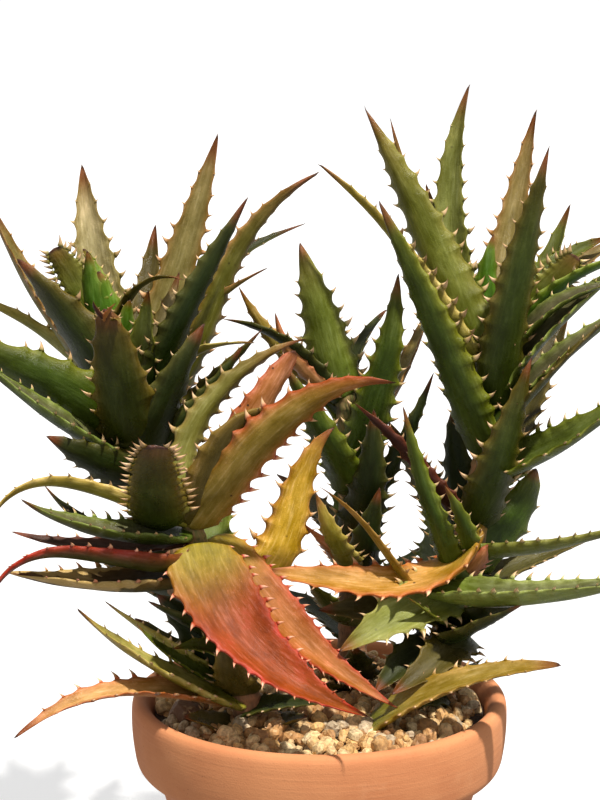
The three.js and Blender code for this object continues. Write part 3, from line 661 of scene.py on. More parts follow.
# %% Leaf list
SHOOTS = {
    "left": [
        blade([[-126, -2, 318], [-127, -50, 370], [-135, -74, 424]], 43, "olive", face=-90, taper=0.5),
        blade([[-130, 0, 340], [-160, -12, 404], [-197, -16, 449]], 46, "olive", face=-120),
        blade([[-134, 14, 372], [-153, 32, 456], [-160, 40, 507]], 32, "pale", face=80, roll=15, cup=0.22),
        blade([[-134, 10, 356], [-186, 14, 420], [-216, 4, 482]], 30, "ochre", face=160, cup=0.25),
        blade([[-134, 4, 372], [-148, -4, 420], [-152, -10, 454]], 26, "fresh", face=-100),
        blade([[-130, 12, 350], [-90, 28, 452], [-68, 34, 528]], 30, "ochre", face=70, roll=20),
        blade([[-124, 0, 332], [-78, -26, 434], [-46, -26, 490]], 27, "dark", face=-60, cup=0.22),
        blade([[-120, 6, 330], [-72, 4, 415], [-50, 2, 458], [0, -4, 505]], 24, "ochre", face=-70),
        blade([[-134, 6, 374], [-131, 0, 412], [-116, -8, 432], [-88, -18, 435]], 18, "olive", face=-30),
        blade([[-120, -4, 312], [-98, -36, 366], [-74, -40, 410]], 38, "dark", face=-60),
        blade([[-128, -4, 330], [-176, -40, 374], [-236, -58, 402]], 40, "green", roll=65),
        blade([[-122, -4, 316], [-172, -52, 354], [-222, -68, 396]], 27, "slate", roll=-22, cup=0.3),
        blade([[-118, -2, 302], [-146, -42, 322], [-175, -60, 340]], 32, "dark", roll=60),
        blade([[-124, 16, 318], [-160, 70, 376], [-176, 104, 432]], 34, "olive"),
        blade([[-120, 18, 312], [-98, 76, 362], [-84, 112, 408]], 32, "green"),
        blade([[-128, 14, 345], [-52, 44, 448], [-8, 50, 467]], 17, "dark", face=60),
        blade([[-126, 0, 348], [-116, -22, 392], [-111, -28, 430]], 24, "green", face=80),
        blade([[-124, 4, 352], [-104, -8, 400], [-92, -10, 440]], 22, "pale", face=70),
        blade([[-134, 4, 376], [-154, 0, 420], [-174, -8, 455]], 26, "sage", face=-90, taper=0.38, cup=0,
              teeth=1.2, pitch=0.45),
        blade([[-134, 8, 376], [-144, 14, 424], [-158, 20, 452]], 22, "fresh", face=150, taper=0.5,
              teeth=1.2, pitch=0.6),
        blade([[-134, 4, 376], [-141, -4, 416], [-145, -8, 440]], 26, "fresh", face=-80, taper=0.6),
        blade([[-133, 2, 378], [-128, -10, 404], [-124, -14, 422]], 18, "fresh", face=-60, taper=0.6),
        blade([[-120, 14, 340], [-72, 6, 416], [-34, 2, 441]], 17, "ochre", face=-50),
        blade([[-116, -2, 340], [-76, -14, 390], [-42, -12, 393]], 17, "lime", face=-50),
        blade([[-130, 12, 346], [-190, 24, 398], [-238, 24, 420]], 24, "lime", roll=40),
        blade([[-118, 2, 322], [-66, 0, 372], [-38, 0, 401]], 15, "olive", face=-60),
        blade([[-116, -6, 314], [-74, -20, 360], [-50, -20, 393]], 17, "dark", face=-70, teeth=1.3),
        blade([[-128, 16, 330], [-122, 66, 400], [-114, 92, 462]], 30, "olive"),
        blade([[-108, 14, 262], [-152, 58, 300], [-190, 84, 330]], 28, "green", roll=10),
        blade([[-98, 20, 232], [-84, 74, 264], [-66, 112, 292]], 28, "olive"),
        blade([[-132, 12, 352], [-176, 46, 400], [-206, 62, 444]], 26, "ochre"),
        blade([[-104, 8, 250], [-150, 10, 262], [-186, 10, 292]], 24, "dark"),
        blade([[-92, 22, 206], [-140, 50, 224], [-172, 70, 236]], 22, "olive"),
        blade([[-88, 18, 190], [-52, 66, 214], [-20, 100, 220]], 24, "green"),
        blade([[-80, 18, 170], [-104, -4, 188], [-124, -20, 208]], 30, "dark", face=-110),
        blade([[-74, 20, 150], [-56, -4, 168], [-44, -22, 188]], 28, "dark", face=-80),
        blade([[-134, -72, 416], [-132, -76, 423], [-127, -78, 428]], 4, "salmon"),
        blade([[-134, -72, 416], [-140, -76, 424], [-141, -80, 430]], 4, "maroon"),
        blade([[-133, -70, 412], [-127, -76, 418], [-124, -82, 414]], 4, "umber"),
    ],
    "front": [
        blade([[-84, -54, 284], [-140, -78, 311], [-184, -94, 315], [-208, -104, 286]], 18, "lime",
              roll=24, depth=0.34),
        blade([[-84, -56, 276], [-148, -92, 290], [-184, -115, 312]], 26, "slate", roll=-8, cup=0.32),
        blade([[-103, -60, 285], [-102, -104, 315], [-99, -146, 352]], 36, "olive", taper=0.34, cup=0,
              teeth=1, pitch=0.5),
        blade([[-88, -52, 262], [-136, -98, 274], [-180, -119, 276], [-203, -129, 250]], 25, "crimson",
              roll=28, depth=0.34, cup=0.1),
        blade([[-84, -48, 248], [-146, -92, 254], [-194, -112, 264]], 33, "weathered", roll=-8, cup=0.3),
        blade([[-78, -66, 270], [-58, -90, 232], [-12, -115, 194], [29, -147, 183]], 54, "red", roll=30,
              taper=1.3, teeth=0.62, pitch=0.6),
        blade([[-72, -46, 268], [-44, -60, 242], [-2, -67, 200], [52, -66, 160]], 43, "ember", roll=30,
              taper=1.2, teeth=0.62, pitch=0.6),
        blade([[-82, -54, 284], [-45, -80, 334], [2, -90, 374], [47, -90, 380]], 32, "coral", face=-60,
              roll=-30, depth=0.26),
        blade([[-84, -56, 286], [-66, -72, 325], [-50, -78, 351], [-24, -80, 361]], 34, "umber", face=-70,
              teeth=0.7),
        blade([[-84, -48, 290], [-44, -44, 350], [-16, -44, 393]], 34, "rose", face=-60, taper=0.48,
              teeth=0.6),
        blade([[-88, -50, 290], [-90, -40, 322], [-57, -30, 371], [-9, -28, 398]], 18, "pale", face=-70,
              cup=0.25, teeth=1.2),
        blade([[-62, -40, 232], [-27, -32, 259], [-13, -32, 304], [10, -32, 341]], 32, "yellow", face=-80),
        blade([[-50, -44, 158], [-114, -84, 202], [-152, -106, 240]], 28, "lime", roll=-20),
        blade([[-50, -44, 158], [-108, -78, 179], [-158, -116, 180], [-190, -132, 164]], 22, "salmon",
              roll=-20, cup=0.25, teeth=1.3, pitch=1.2),
        blade([[-50, -44, 166], [-58, -70, 186], [-62, -86, 211]], 26, "umber", face=-90, taper=0.6),
        blade([[-84, -50, 272], [-160, -62, 270], [-198, -66, 279]], 19, "maroon", roll=-20),
        blade([[-66, -34, 172], [-112, -45, 206], [-140, -55, 230]], 17, "lime", roll=25),
        blade([[-66, -36, 200], [-92, -60, 222], [-110, -75, 236]], 26, "dark"),
        blade([[-60, -46, 188], [-74, -70, 204], [-94, -88, 208]], 16, "green", roll=-40),
        blade([[-58, -40, 168], [-95, -62, 195], [-118, -78, 222]], 16, "green", roll=-30),
        blade([[-60, -44, 190], [-44, -64, 210], [-40, -84, 236]], 26, "dark", face=-90),
        blade([[-52, -42, 150], [-26, -64, 164], [6, -82, 170]], 20, "dark", roll=20),
        blade([[-66, -40, 230], [-70, 10, 262], [-60, 50, 300]], 26, "green"),
        blade([[-62, -38, 184], [-84, -34, 206], [-108, -32, 228]], 30, "dark", face=-90),
        blade([[-46, -38, 134], [-70, -62, 150], [-88, -80, 160]], 26, "olive", roll=-30),
        blade([[-44, -36, 136], [-24, -58, 150], [-8, -74, 158]], 24, "olive", roll=20),
    ],
    "middle": [
        blade([[16, 26, 352], [0, 16, 408], [-13, 12, 457]], 32, "sage", face=-90),
        blade([[22, 28, 300], [42, 4, 370], [52, -2, 438]], 28, "green", face=-100),
        blade([[22, 28, 285], [2, -14, 334], [-23, -22, 380]], 28, "green", face=-100),
        blade([[18, 30, 345], [8, 72, 386], [6, 104, 412]], 30, "olive"),
        blade([[22, 34, 262], [36, 86, 312], [44, 122, 352]], 30, "green"),
        blade([[18, 28, 350], [30, 42, 388], [47, 48, 407]], 19, "dark", face=40),
        blade([[22, 30, 318], [58, 38, 370], [76, 46, 412]], 26, "ochre", face=30),
        blade([[22, 24, 232], [4, -18, 258], [-11, -30, 276]], 16, "salmon"),
        blade([[24, 28, 230], [8, -26, 268], [-3, -35, 298]], 21, "lime", face=-90),
        blade([[88, -8, 205], [52, -35, 246], [27, -45, 281], [-2, -50, 306]], 16, "amber"),
        blade([[100, -4, 270], [66, -15, 311], [22, -20, 355]], 14, "maroon", face=-110),
        blade([[26, 28, 258], [46, 12, 300], [77, 10, 370]], 15, "dark", face=-80),
        blade([[12, 24, 352], [-22, 8, 388], [-30, 6, 411]], 13, "salmon", face=-110),
        blade([[12, 24, 348], [-28, 8, 394], [-65, 5, 407]], 17, "dark", roll=30),
        blade([[14, 26, 350], [-26, 22, 384], [-54, 18, 427]], 14, "amber", face=-90),
        blade([[24, 34, 250], [34, 2, 300], [36, -6, 348]], 30, "dark", face=-90),
        blade([[24, 34, 214], [32, 0, 256], [40, -12, 296]], 28, "dark", face=-90),
        blade([[24, 34, 190], [6, -4, 214], [-8, -28, 236]], 24, "green"),
        blade([[22, 34, 240], [0, 70, 262], [-30, 104, 280]], 26, "olive"),
        blade([[22, 32, 300], [42, 78, 348], [68, 106, 372]], 28, "olive"),
        blade([[20, 32, 330], [-8, 60, 368], [-38, 84, 392]], 24, "green"),
        blade([[24, 38, 200], [52, 74, 214], [78, 104, 226]], 24, "green"),
        blade([[24, 38, 176], [-6, 76, 190], [-30, 98, 196]], 22, "dark"),
        blade([[24, 36, 146], [26, 4, 166], [24, -24, 190]], 32, "dark", face=-90),
        blade([[20, 36, 142], [2, 4, 152], [-12, -20, 168]], 28, "olive", face=-110),
    ],
    "right": [
        blade([[116, 2, 362], [68, 6, 470], [29, 6, 547]], 37, "sage", face=-115, taper=1, depth=0.28),
        blade([[112, -2, 318], [72, -34, 414], [37, -40, 489]], 31, "green", face=-118, depth=0.28),
        blade([[116, 10, 368], [88, 44, 480], [102, 54, 560]], 28, "sage", face=90, roll=-25, depth=0.28),
        blade([[118, 8, 374], [130, 46, 466], [148, 58, 543]], 25, "ochre", face=75, cup=0.24),
        blade([[116, -4, 350], [127, -30, 440], [146, -30, 523]], 32, "olive", face=-85, taper=1),
        blade([[118, 4, 376], [152, 14, 438], [194, 16, 460]], 26, "green", roll=35, cup=0.25),
        blade([[116, 0, 356], [156, -14, 410], [200, -18, 446]], 28, "slate", roll=30, cup=0.3),
        blade([[112, -4, 306], [152, -46, 333], [209, -60, 378]], 32, "green", roll=28, cup=0.3),
        blade([[104, -4, 268], [119, -42, 332], [136, -46, 390]], 32, "olive", face=-80, taper=0.95),
        blade([[94, -4, 224], [72, -40, 292], [53, -44, 357]], 19, "green", face=-120, depth=0.3),
        blade([[100, -4, 254], [152, -44, 267], [210, -60, 284]], 23, "sage", roll=-18, depth=0.34),
        blade([[74, -26, 231], [132, -66, 238], [212, -88, 255]], 30, "trough", roll=7, cup=0.42),
        blade([[106, -8, 268], [68, -36, 241], [14, -44, 241], [-40, -42, 247]], 33, "orange", roll=-52,
              twist=74, cup=0.06),
        blade([[88, -4, 214], [40, -30, 219], [-1, -40, 219]], 34, "olive", roll=-45),
        blade([[28, -50, 140], [64, -72, 172], [98, -82, 188], [152, -98, 200]], 26, "amber", roll=20,
              taper=0.58),
        blade([[98, -10, 228], [56, -48, 222], [12, -64, 198]], 38, "sage", roll=-48),
        blade([[112, 4, 300], [150, 60, 352], [178, 92, 404]], 34, "olive"),
        blade([[114, 2, 352], [53, -14, 458], [-2, -14, 510]], 20, "lime", roll=28, depth=0.3, teeth=1.3),
        blade([[110, 14, 380], [68, 28, 470], [47, 33, 538]], 12, "ochre", face=-100, teeth=0.5),
        blade([[116, 6, 376], [92, 10, 430], [66, 12, 488]], 22, "fresh", face=-100, teeth=1.2),
        blade([[118, 6, 380], [112, 14, 424], [116, 20, 462]], 22, "fresh", face=-90),
        blade([[120, 5, 384], [146, 0, 424], [168, -8, 450]], 26, "sage", face=-90, taper=0.38, cup=0,
              teeth=1.2, pitch=0.45),
        blade([[120, 6, 380], [160, -6, 432], [211, -10, 452]], 22, "fresh", roll=-20),
        blade([[120, 10, 376], [171, 20, 440], [212, 22, 461]], 23, "ochre", roll=30),
        blade([[118, -4, 366], [160, -20, 424], [204, -26, 436]], 20, "slate", roll=20, cup=0.3),
        blade([[114, -6, 338], [160, -34, 392], [206, -38, 424]], 26, "slate", roll=30, cup=0.3),
        blade([[112, -6, 322], [150, -50, 383], [192, -55, 425]], 19, "olive", roll=20),
        blade([[104, 6, 262], [94, 14, 303], [90, 15, 345]], 28, "dark", face=-120),
        blade([[100, -8, 240], [94, -40, 278], [80, -48, 306]], 15, "green", face=-90),
        blade([[102, 4, 242], [132, 16, 270], [148, 20, 302]], 40, "green", face=-60, taper=0.6),
        blade([[96, -10, 236], [106, -24, 250], [112, -30, 262]], 16, "rose", face=-90),
        blade([[88, -2, 190], [107, -58, 217], [132, -68, 232]], 28, "dark"),
        blade([[88, -4, 202], [70, -50, 222], [56, -60, 234]], 15, "green", roll=-30),
        blade([[112, 8, 330], [120, 66, 384], [124, 98, 440]], 32, "olive"),
        blade([[116, 8, 352], [150, 50, 420], [174, 70, 478]], 30, "green"),
        blade([[100, 6, 250], [74, 66, 285], [50, 106, 318]], 28, "olive"),
        blade([[92, 8, 214], [88, 76, 246], [112, 118, 262]], 28, "green"),
        blade([[86, 8, 176], [118, 60, 206], [146, 98, 222]], 26, "dark"),
        blade([[108, 4, 290], [160, 30, 318], [204, 48, 340]], 28, "green", roll=10),
        blade([[88, -4, 176], [62, -36, 186], [36, -62, 170]], 34, "dark", roll=-30),
        blade([[90, 0, 194], [112, -30, 214], [136, -44, 226]], 34, "dark", roll=-20),
        blade([[84, 4, 150], [66, -30, 158], [44, -46, 152]], 30, "dark", roll=-40),
        blade([[96, 0, 192], [80, -44, 190], [46, -72, 172]], 32, "olive", roll=-30),
        blade([[86, 4, 160], [110, -24, 172], [128, -46, 178]], 28, "green", roll=10),
        blade([[94, 2, 216], [144, 24, 236], [192, 36, 250]], 26, "olive", roll=10),
        blade([[116, 6, 364], [92, 50, 430], [74, 70, 492]], 26, "green"),
    ],
}
print("leaves:", {shoot: len(rows) for shoot, rows in SHOOTS.items()})

# %% [markdown]
# ## Growing the leaves
# A leaf that the frame has becomes a piece of its own, so that it can be told apart later. The
# leaves between are joined into one piece for each shoot and skin.

# %% Grow the leaves
rng = np.random.default_rng(7)
cad_leaves = {shoot: sum(name.startswith(f"leaf_{shoot}_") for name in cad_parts) for shoot in SHOOTS}
for shoot, rows in SHOOTS.items():
    between = {}
    for number, row in enumerate(rows, 1):
        parts = leaf_parts(row, rng)
        if number <= cad_leaves[shoot]:
            piece = make_piece(f"blade_{shoot}_{number:02d}", parts, SKINS[row["tone"]])
            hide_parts(f"leaf_{shoot}_{number:02d}")
        else:
            between.setdefault(SKINS[row["tone"]].name, []).extend(parts)
    for i, (skin_name, parts) in enumerate(between.items(), 1):
        piece = make_piece(f"young_blades_{shoot}_{i}", parts, bpy.data.materials[skin_name])
    print(shoot, "leaves of the frame:", cad_leaves[shoot], "pieces of leaves between:", len(between))

# %% [markdown]
# ## Stems
# Old leaves leave a ring-shaped scar when they fall, so a bare stretch of stem is a stack of shallow
# collars, greenish near the growing tip and brown and papery lower down. A texture could paint the
# rings, but their edges show against the light, so the radius of the tube itself steps out a little
# at each collar.

# %% Stem shapes, the same points and radii as the frame's, in millimetres
STEMS = {
    "left": [[-62, 22, 108, 11], [-88, 22, 200, 11], [-118, 12, 300, 10], [-134, 8, 378, 6]],
    "front": [[-38, -34, 108, 10], [-52, -44, 170, 10], [-72, -50, 240, 9], [-86, -54, 292, 6]],
    "middle": [[22, 42, 108, 10], [24, 36, 200, 10], [22, 30, 290, 9], [16, 26, 366, 6]],
    "right": [[80, 6, 108, 12], [90, 2, 200, 11], [108, 0, 290, 10], [118, 2, 384, 6]],
}
STEM_RINGS = 150
STEM_SIDES = 28
SCAR_PITCH = 9 * MM
STEM_BROWN = (122, 88, 60)
STEM_GREEN = (104, 108, 50)


def stem_parts(points):
    """A tube round the smooth curve through the points. Its radius runs between theirs, and each
    collar adds a sawtooth of its height that slowly turns round the stem."""
    points = np.array(points, float) * MM
    curve = curve_through(points[:, :3])
    t = np.linspace(0, 1, STEM_RINGS)
    a = 2 * np.pi * np.arange(STEM_SIDES) / STEM_SIDES
    length = np.linalg.norm(np.diff(curve(t), axis=0), axis=1).sum()
    along = unit(curve(np.minimum(t + 0.01, 1)) - curve(np.maximum(t - 0.01, 0)))
    side = unit(np.array([0.0, 1.0, 0.0]) - along[:, 1:2] * along)
    other = np.cross(along, side)
    radius = np.interp(t, np.linspace(0, 1, len(points)), points[:, 3])
    turn = (t[:, None] * length / SCAR_PITCH + 0.35 * np.sin(a[None] + t[:, None] * 31)) % 1.0
    collar = 1 + 0.09 * (1 - turn) ** 3 - 0.03 * smoothstep(0.5, 1.0, turn)
    r = radius[:, None] * collar
    ring = curve(t)[:, None] + side[:, None] * (np.cos(a) * r)[..., None]
    ring = ring + other[:, None] * (np.sin(a) * r)[..., None]
    ends = np.concatenate([curve([0.0]) - along[:1] * MM, curve([1.0]) + along[-1:] * 4 * MM])
    brown, green = linear(STEM_BROWN), linear(STEM_GREEN)
    tone = brown + (green - brown) * smoothstep(0.35, 0.9, t)[:, None, None]
    # painted shade: each collar darkens to nearly half just under the lip of the next one, in the crease
    tone = tone * (1 - 0.55 * smoothstep(0.75, 1.0, turn))[..., None]
    skin = np.stack([np.cos(a)[None] * r, (t * length)[:, None] + 0 * r, np.sin(a)[None] * r], -1)
    quads, tris = tube_faces(STEM_RINGS, STEM_SIDES)
    return [{"points": np.concatenate([ring.reshape(-1, 3), ends]), "quads": quads, "tris": tris,
             "tone": np.concatenate([tone.reshape(-1, 3), [brown, green]]),
             "skin": np.concatenate([skin.reshape(-1, 3), [[0, 0, 0], [0, length, 0]]])}]


print("collars on the left stem:", round((STEMS["left"][-1][2] - STEMS["left"][0][2]) * MM / SCAR_PITCH))


# %% Stem material
def stem_material():
    """Papery bark: fibres along the stem, pale worn patches and dark damp ones."""
    material, shader = new_material("scarred stem bark")
    tone = add(material, "Attribute", 0, {"attribute_name": "tone"})
    skin = add(material, "Attribute", 1, {"attribute_name": "skin"})
    fibre_place = add(material, "Mapping", Vector=skin, Scale=(1.0, 0.2, 1.0))
    fibres = noise(material, fibre_place, 700, 4)
    patches = noise(material, add(material, "TexCoord", 3), 60, 4)
    colour = mix(material, ramp(material, fibres, 0.35, 0.7, 0.0, 0.6), tone, rgb(168, 124, 84))
    colour = mix(material, ramp(material, patches, 0.52, 0.68, 0.0, 0.7), colour, rgb(196, 132, 92))
    colour = mix(material, ramp(material, patches, 0.44, 0.30, 0.0, 0.6), colour, rgb(52, 40, 26))
    set_input(shader.inputs["Base Color"], colour)
    shader.inputs["Roughness"].default_value = 0.72
    set_input(shader.inputs["Normal"], add(material, "Bump", Height=fibres, Strength=0.5, Distance=0.0008))
    return material


bark = stem_material()
for shoot, points in STEMS.items():
    stem = make_piece(f"scarred_stem_{shoot}", stem_parts(points), bark)
    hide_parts(f"stem_{shoot}")
print("stems:", len(STEMS))

# %% [markdown]
# ## The pot
# A clay bowl is thrown or pressed on a wheel, so it is a profile turned about its axis. It could be
# lathed with a modifier; here the ring of points is worked out directly, with a wobble of a fraction
# of a millimetre so that its highlight isn't perfectly straight. Faint bands in the clay run round
# it where a sponge or a tool touched it as it turned.

# %% Pot profile, radius and height in millimetres, from the middle of the underside round to the floor
pot_low, pot_high = (np.array(corner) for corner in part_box("pot"))
RIM = (pot_high[0] - pot_low[0]) / 2 / MM
TOP = pot_high[2] / MM
BAND_BOTTOM = 98
BODY_TOP = 111
BASE = 78


def body_radius(z):
    """Radius of the body under the band: it opens quickly from the base and then more slowly."""
    return BASE + (BODY_TOP - BASE) * (z / BAND_BOTTOM) ** 0.8


POT_OUTLINE = [(0, 0), (70, 0), (75.5, 0), (77.8, 0.6), (78.6, 2.6)]
POT_OUTLINE += [(body_radius(z), z) for z in (8, 16, 26, 38, 50, 62, 74, 86)]
POT_OUTLINE += [
    (BODY_TOP - 0.2, BAND_BOTTOM - 0.8), (BODY_TOP + 2.2, BAND_BOTTOM + 0.6), (RIM - 9, BAND_BOTTOM + 2),
    (RIM - 4.8, BAND_BOTTOM + 5), (RIM - 2.8, BAND_BOTTOM + 9), (RIM - 1.8, BAND_BOTTOM + 15),
    (RIM - 0.8, BAND_BOTTOM + 22), (RIM, TOP - 20), (RIM, TOP - 9), (RIM - 0.6, TOP - 4),
    (RIM - 2.4, TOP - 1), (RIM - 5.5, TOP), (RIM - 8.6, TOP - 0.8), (RIM - 11, TOP - 3),
    (RIM - 14, TOP - 10), (RIM - 16, 128),
    (RIM - 18.5, 117), (RIM - 29.5, 100), (86.5, 60), (75, 24), (72, 17), (68, 15), (30, 15), (0, 15),
]
print("rim radius and height in mm:", round(RIM, 1), round(TOP, 1))

# %% Turning the profile
POT_STEPS = 160
POT_WOBBLE = 0.22 * MM


def round_corners(outline, times):
    """Cuts every corner at a quarter and three quarters of its edges, again and again, which
    brings the outline close to a smooth curve. Its two ends stay."""
    for _ in range(times):
        first, second = outline[:-1], outline[1:]
        cut = np.stack([0.75 * first + 0.25 * second, 0.25 * first + 0.75 * second], 1).reshape(-1, 2)
        outline = np.concatenate([outline[:1], cut[1:-1], outline[-1:]])
    return outline


def lathe_parts(outline, steps, wobble):
    """The rounded outline turned about the axis. Its radius wobbles by a few low waves."""
    outline = round_corners(np.array(outline, float), 2) * MM
    r, z = outline[1:-1].T
    a = 2 * np.pi * np.arange(steps) / steps
    wave = wobble * (np.sin(2 * a + 0.6) + 0.6 * np.sin(3 * a + 2.0) + 0.3 * np.sin(7 * a))
    rr = r[:, None] + wave[None] * smoothstep(0.02, 0.06, r)[:, None]
    ring = np.stack([rr * np.cos(a), rr * np.sin(a), z[:, None] + 0 * rr], -1)
    ends = np.array([[0, 0, outline[0, 1]], [0, 0, outline[-1, 1]]])
    quads, tris = tube_faces(len(r), steps)
    return [{"points": np.concatenate([ring.reshape(-1, 3), ends]), "quads": quads, "tris": tris}]


print("points of the rounded profile:", len(round_corners(np.array(POT_OUTLINE, float), 2)))


# %% Terracotta
def terracotta_material():
    """Clay in two tones, with turned bands, a pale bloom, grains, sparse pits and painted shade low on the
    body.
    """
    material, shader = new_material("terracotta")
    place = add(material, "TexCoord", 3)
    height = add(material, "SeparateXYZ", 2, Vector=place)
    clouds = noise(material, place, 9, 6, 0.6)
    colour = mix(material, ramp(material, clouds, 0.35, 0.68), rgb(204, 134, 86), rgb(188, 116, 72))
    bands_place = add(material, "Mapping", Vector=place, Scale=(0.15, 0.15, 3.0))
    bands = noise(material, bands_place, 120, 4)
    colour = mix(material, ramp(material, bands, 0.45, 0.7, 0.0, 0.22), colour, rgb(214, 146, 98))
    bloom = noise(material, place, 26, 6, 0.65)
    colour = mix(material, ramp(material, bloom, 0.56, 0.74, 0.0, 0.22), colour, rgb(222, 166, 122))
    grain = noise(material, place, 900, 3)
    colour = mix(material, ramp(material, grain, 0.60, 0.75, 0.0, 0.35), colour, rgb(156, 88, 54))
    pits = add(material, "TexVoronoi", Vector=place, Scale=260.0)
    gate = ramp(material, noise(material, place, 45, 2), 0.55, 0.62)
    pit = arithmetic(material, "MULTIPLY", ramp(material, pits, 0.16, 0.08, 0.0, 0.5), gate)
    colour = mix(material, pit, colour, rgb(120, 62, 40))
    # painted shade: the body below 70 to 78 mm is darkened as if in the shadow of the rim band
    colour = mix(material, ramp(material, height, 0.070, 0.078, 0.25, 0.0), colour, rgb(150, 84, 54))
    set_input(shader.inputs["Base Color"], colour)
    set_input(shader.inputs["Roughness"], ramp(material, bloom, 0.3, 0.7, 0.78, 0.92))
    relief = arithmetic(material, "MULTIPLY_ADD", bands, 1.4, grain)
    set_input(shader.inputs["Normal"], add(material, "Bump", Height=relief, Strength=0.35, Distance=0.0005))
    return material


pot = make_piece("clay_bowl", lathe_parts(POT_OUTLINE, POT_STEPS, POT_WOBBLE), terracotta_material())
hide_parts("pot")
print("pot faces:", len(pot.data.polygons))

# %% [markdown]
# ## Drain holes
# Water leaves a clay pot through holes punched in its floor before firing. A turned profile can't
# have them, so each is cut with a boolean modifier, which is then baked into the mesh.

# %% Drill the pot's floor
DRAIN_COUNT = 4
DRAIN_RADIUS = 7 * MM
DRAIN_RING = 46 * MM
DRILL_DEPTH = 80 * MM
for i in range(DRAIN_COUNT):
    angle = 2 * math.pi * (i + 0.5) / DRAIN_COUNT
    bpy.ops.mesh.primitive_cylinder_add(vertices=32, radius=DRAIN_RADIUS, depth=DRILL_DEPTH)
    drill = bpy.context.object
    drill.location = (DRAIN_RING * math.cos(angle), DRAIN_RING * math.sin(angle), 0)
    cut = pot.modifiers.new("drain", "BOOLEAN")
    cut.object = drill
    cut.solver = "EXACT"
    bpy.context.view_layer.update()
    graph = bpy.context.evaluated_depsgraph_get()
    drilled = bpy.data.meshes.new_from_object(pot.evaluated_get(graph))
    pot.modifiers.clear()
    pot.data = drilled
    bpy.data.objects.remove(drill)
print("pot faces with its drain holes:", len(pot.data.polygons))

# %% [markdown]
# ## Soil
# The frame's soil already has the right shape and lies out of sight under the gravel, so it only
# gets a crumbly dark material.


# %% Soil material
def soil_material():
    """Dark crumbs with a few paler fibres."""
    material, shader = new_material("potting soil")
    place = add(material, "TexCoord", 3)
    crumbs = noise(material, place, 320, 6, 0.7)
    colour = mix(material, ramp(material, crumbs, 0.35, 0.7), rgb(34, 24, 17), rgb(86, 62, 42))
    fibres = noise(material, place, 90, 4)
    colour = mix(material, ramp(material, fibres, 0.6, 0.72, 0.0, 0.5), colour, rgb(120, 88, 56))
    set_input(shader.inputs["Base Color"], colour)
    shader.inputs["Roughness"].default_value = 0.95
    set_input(shader.inputs["Normal"], add(material, "Bump", Height=crumbs, Strength=0.9, Distance=0.002))
    return material


soil = soil_material()
soil_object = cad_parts["soil"]
soil_object.data.materials.clear()
soil_object.data.materials.append(soil)
print("soil faces:", len(soil_object.data.polygons))

# %% [markdown]
# ## Gravel
# The topping is loose gravel: some eight hundred small broken stones in cream, tan and ochre. They
# could be dropped by a rigid body simulation, but a jittered grid in two layers looks the same from
# above and never rolls away. A dark bed of grit closes the gaps. Every stone is a cube of 56 points
# pushed out to a ball, cut by seven planes, stretched and turned; all are worked out in one go.

# %% Bed of grit
gravel_low, gravel_high = (np.array(corner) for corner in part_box("gravel"))
BED_RADIUS = gravel_high[0]
BED_BOTTOM = gravel_low[2]
BED_EDGE = 138.0 * MM
BED_MOUND = 4.5 * MM


def mound(r):
    """Height of the bed at radius r: its edge plus a low dome."""
    return BED_EDGE + BED_MOUND * (1 - (r / BED_RADIUS) ** 2)


def bed_parts():
    """A disc in polar rings whose top is the dome with small bumps, closed by a flat bottom."""
    a = 2 * np.pi * np.arange(96) / 96
    r = np.linspace(0.04, 1, 26)[:, None] * (BED_RADIUS - 0.8 * MM)
    bumps = 0.9 * MM * np.sin(r * 900 + 3 * np.sin(5 * a)) * np.cos(17 * a + r * 400)
    top = np.stack([r * np.cos(a), r * np.sin(a), mound(r) + bumps], -1)
    skirt = top[-1:] * [0.97, 0.97, 0] + [0, 0, BED_BOTTOM]
    ring = np.concatenate([top, skirt])[:, ::-1]
    ends = np.array([[0, 0, mound(0)], [0, 0, BED_BOTTOM]])
    quads, tris = tube_faces(len(ring), len(a))
    return [{"points": np.concatenate([ring.reshape(-1, 3), ends]), "quads": quads, "tris": tris}]


bed = make_piece("grit_bed", bed_parts(), soil)
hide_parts("gravel")
print("bed height in the middle, in mm:", round(mound(0) / MM, 1))


# %% A ball made from a cube
def cube_ball(cells):
    """Points and quads of a cube whose faces have cells x cells squares, pushed out to a ball."""
    span = np.linspace(-1, 1, cells + 1)
    grid = np.stack(np.meshgrid(span, span, indexing="ij"), -1).reshape(-1, 2)
    faces, corners = [], []
    index = np.arange((cells + 1) ** 2).reshape(cells + 1, cells + 1)
    quad = np.stack([index[:-1, :-1], index[1:, :-1], index[1:, 1:], index[:-1, 1:]], -1).reshape(-1, 4)
    for axis in range(3):
        for sign in (1, -1):
            flip = (sign > 0) == (axis == 1)
            faces.append((quad[:, ::-1] if flip else quad) + len(corners) * len(grid))
            corners.append(np.insert(grid, axis, float(sign), axis=1))
    corners = np.concatenate(corners)
    whole = np.round(corners * 1000).astype(int)
    _, first, back = np.unique(whole, axis=0, return_index=True, return_inverse=True)
    return unit(corners[first]), back.reshape(-1)[np.concatenate(faces)]


def random_turns(rng, count):
    """Rotation matrices from unit quaternions drawn evenly over all turns."""
    w, x, y, z = unit(rng.normal(size=(count, 4))).T
    return np.stack([
        np.stack([1 - 2 * (y * y + z * z), 2 * (x * y - z * w), 2 * (x * z + y * w)], -1),
        np.stack([2 * (x * y + z * w), 1 - 2 * (x * x + z * z), 2 * (y * z - x * w)], -1),
        np.stack([2 * (x * z - y * w), 2 * (y * z + x * w), 1 - 2 * (x * x + y * y)], -1)], -2)


print("points and faces of the smallest ball:", [len(array) for array in cube_ball(3)])

# %% Places of the stones
STONE_SPACING = 9.2 * MM
STONE_LAYERS = ((0, 1.0), (1, 0.72))      # layer, and the part of its places that hold a stone
LAYER_RISE = 4.2 * MM
STONE_JITTER = 0.28    # of the spacing
WALL_GAP = 5.2 * MM    # from the edge of the bed to the nearest centre


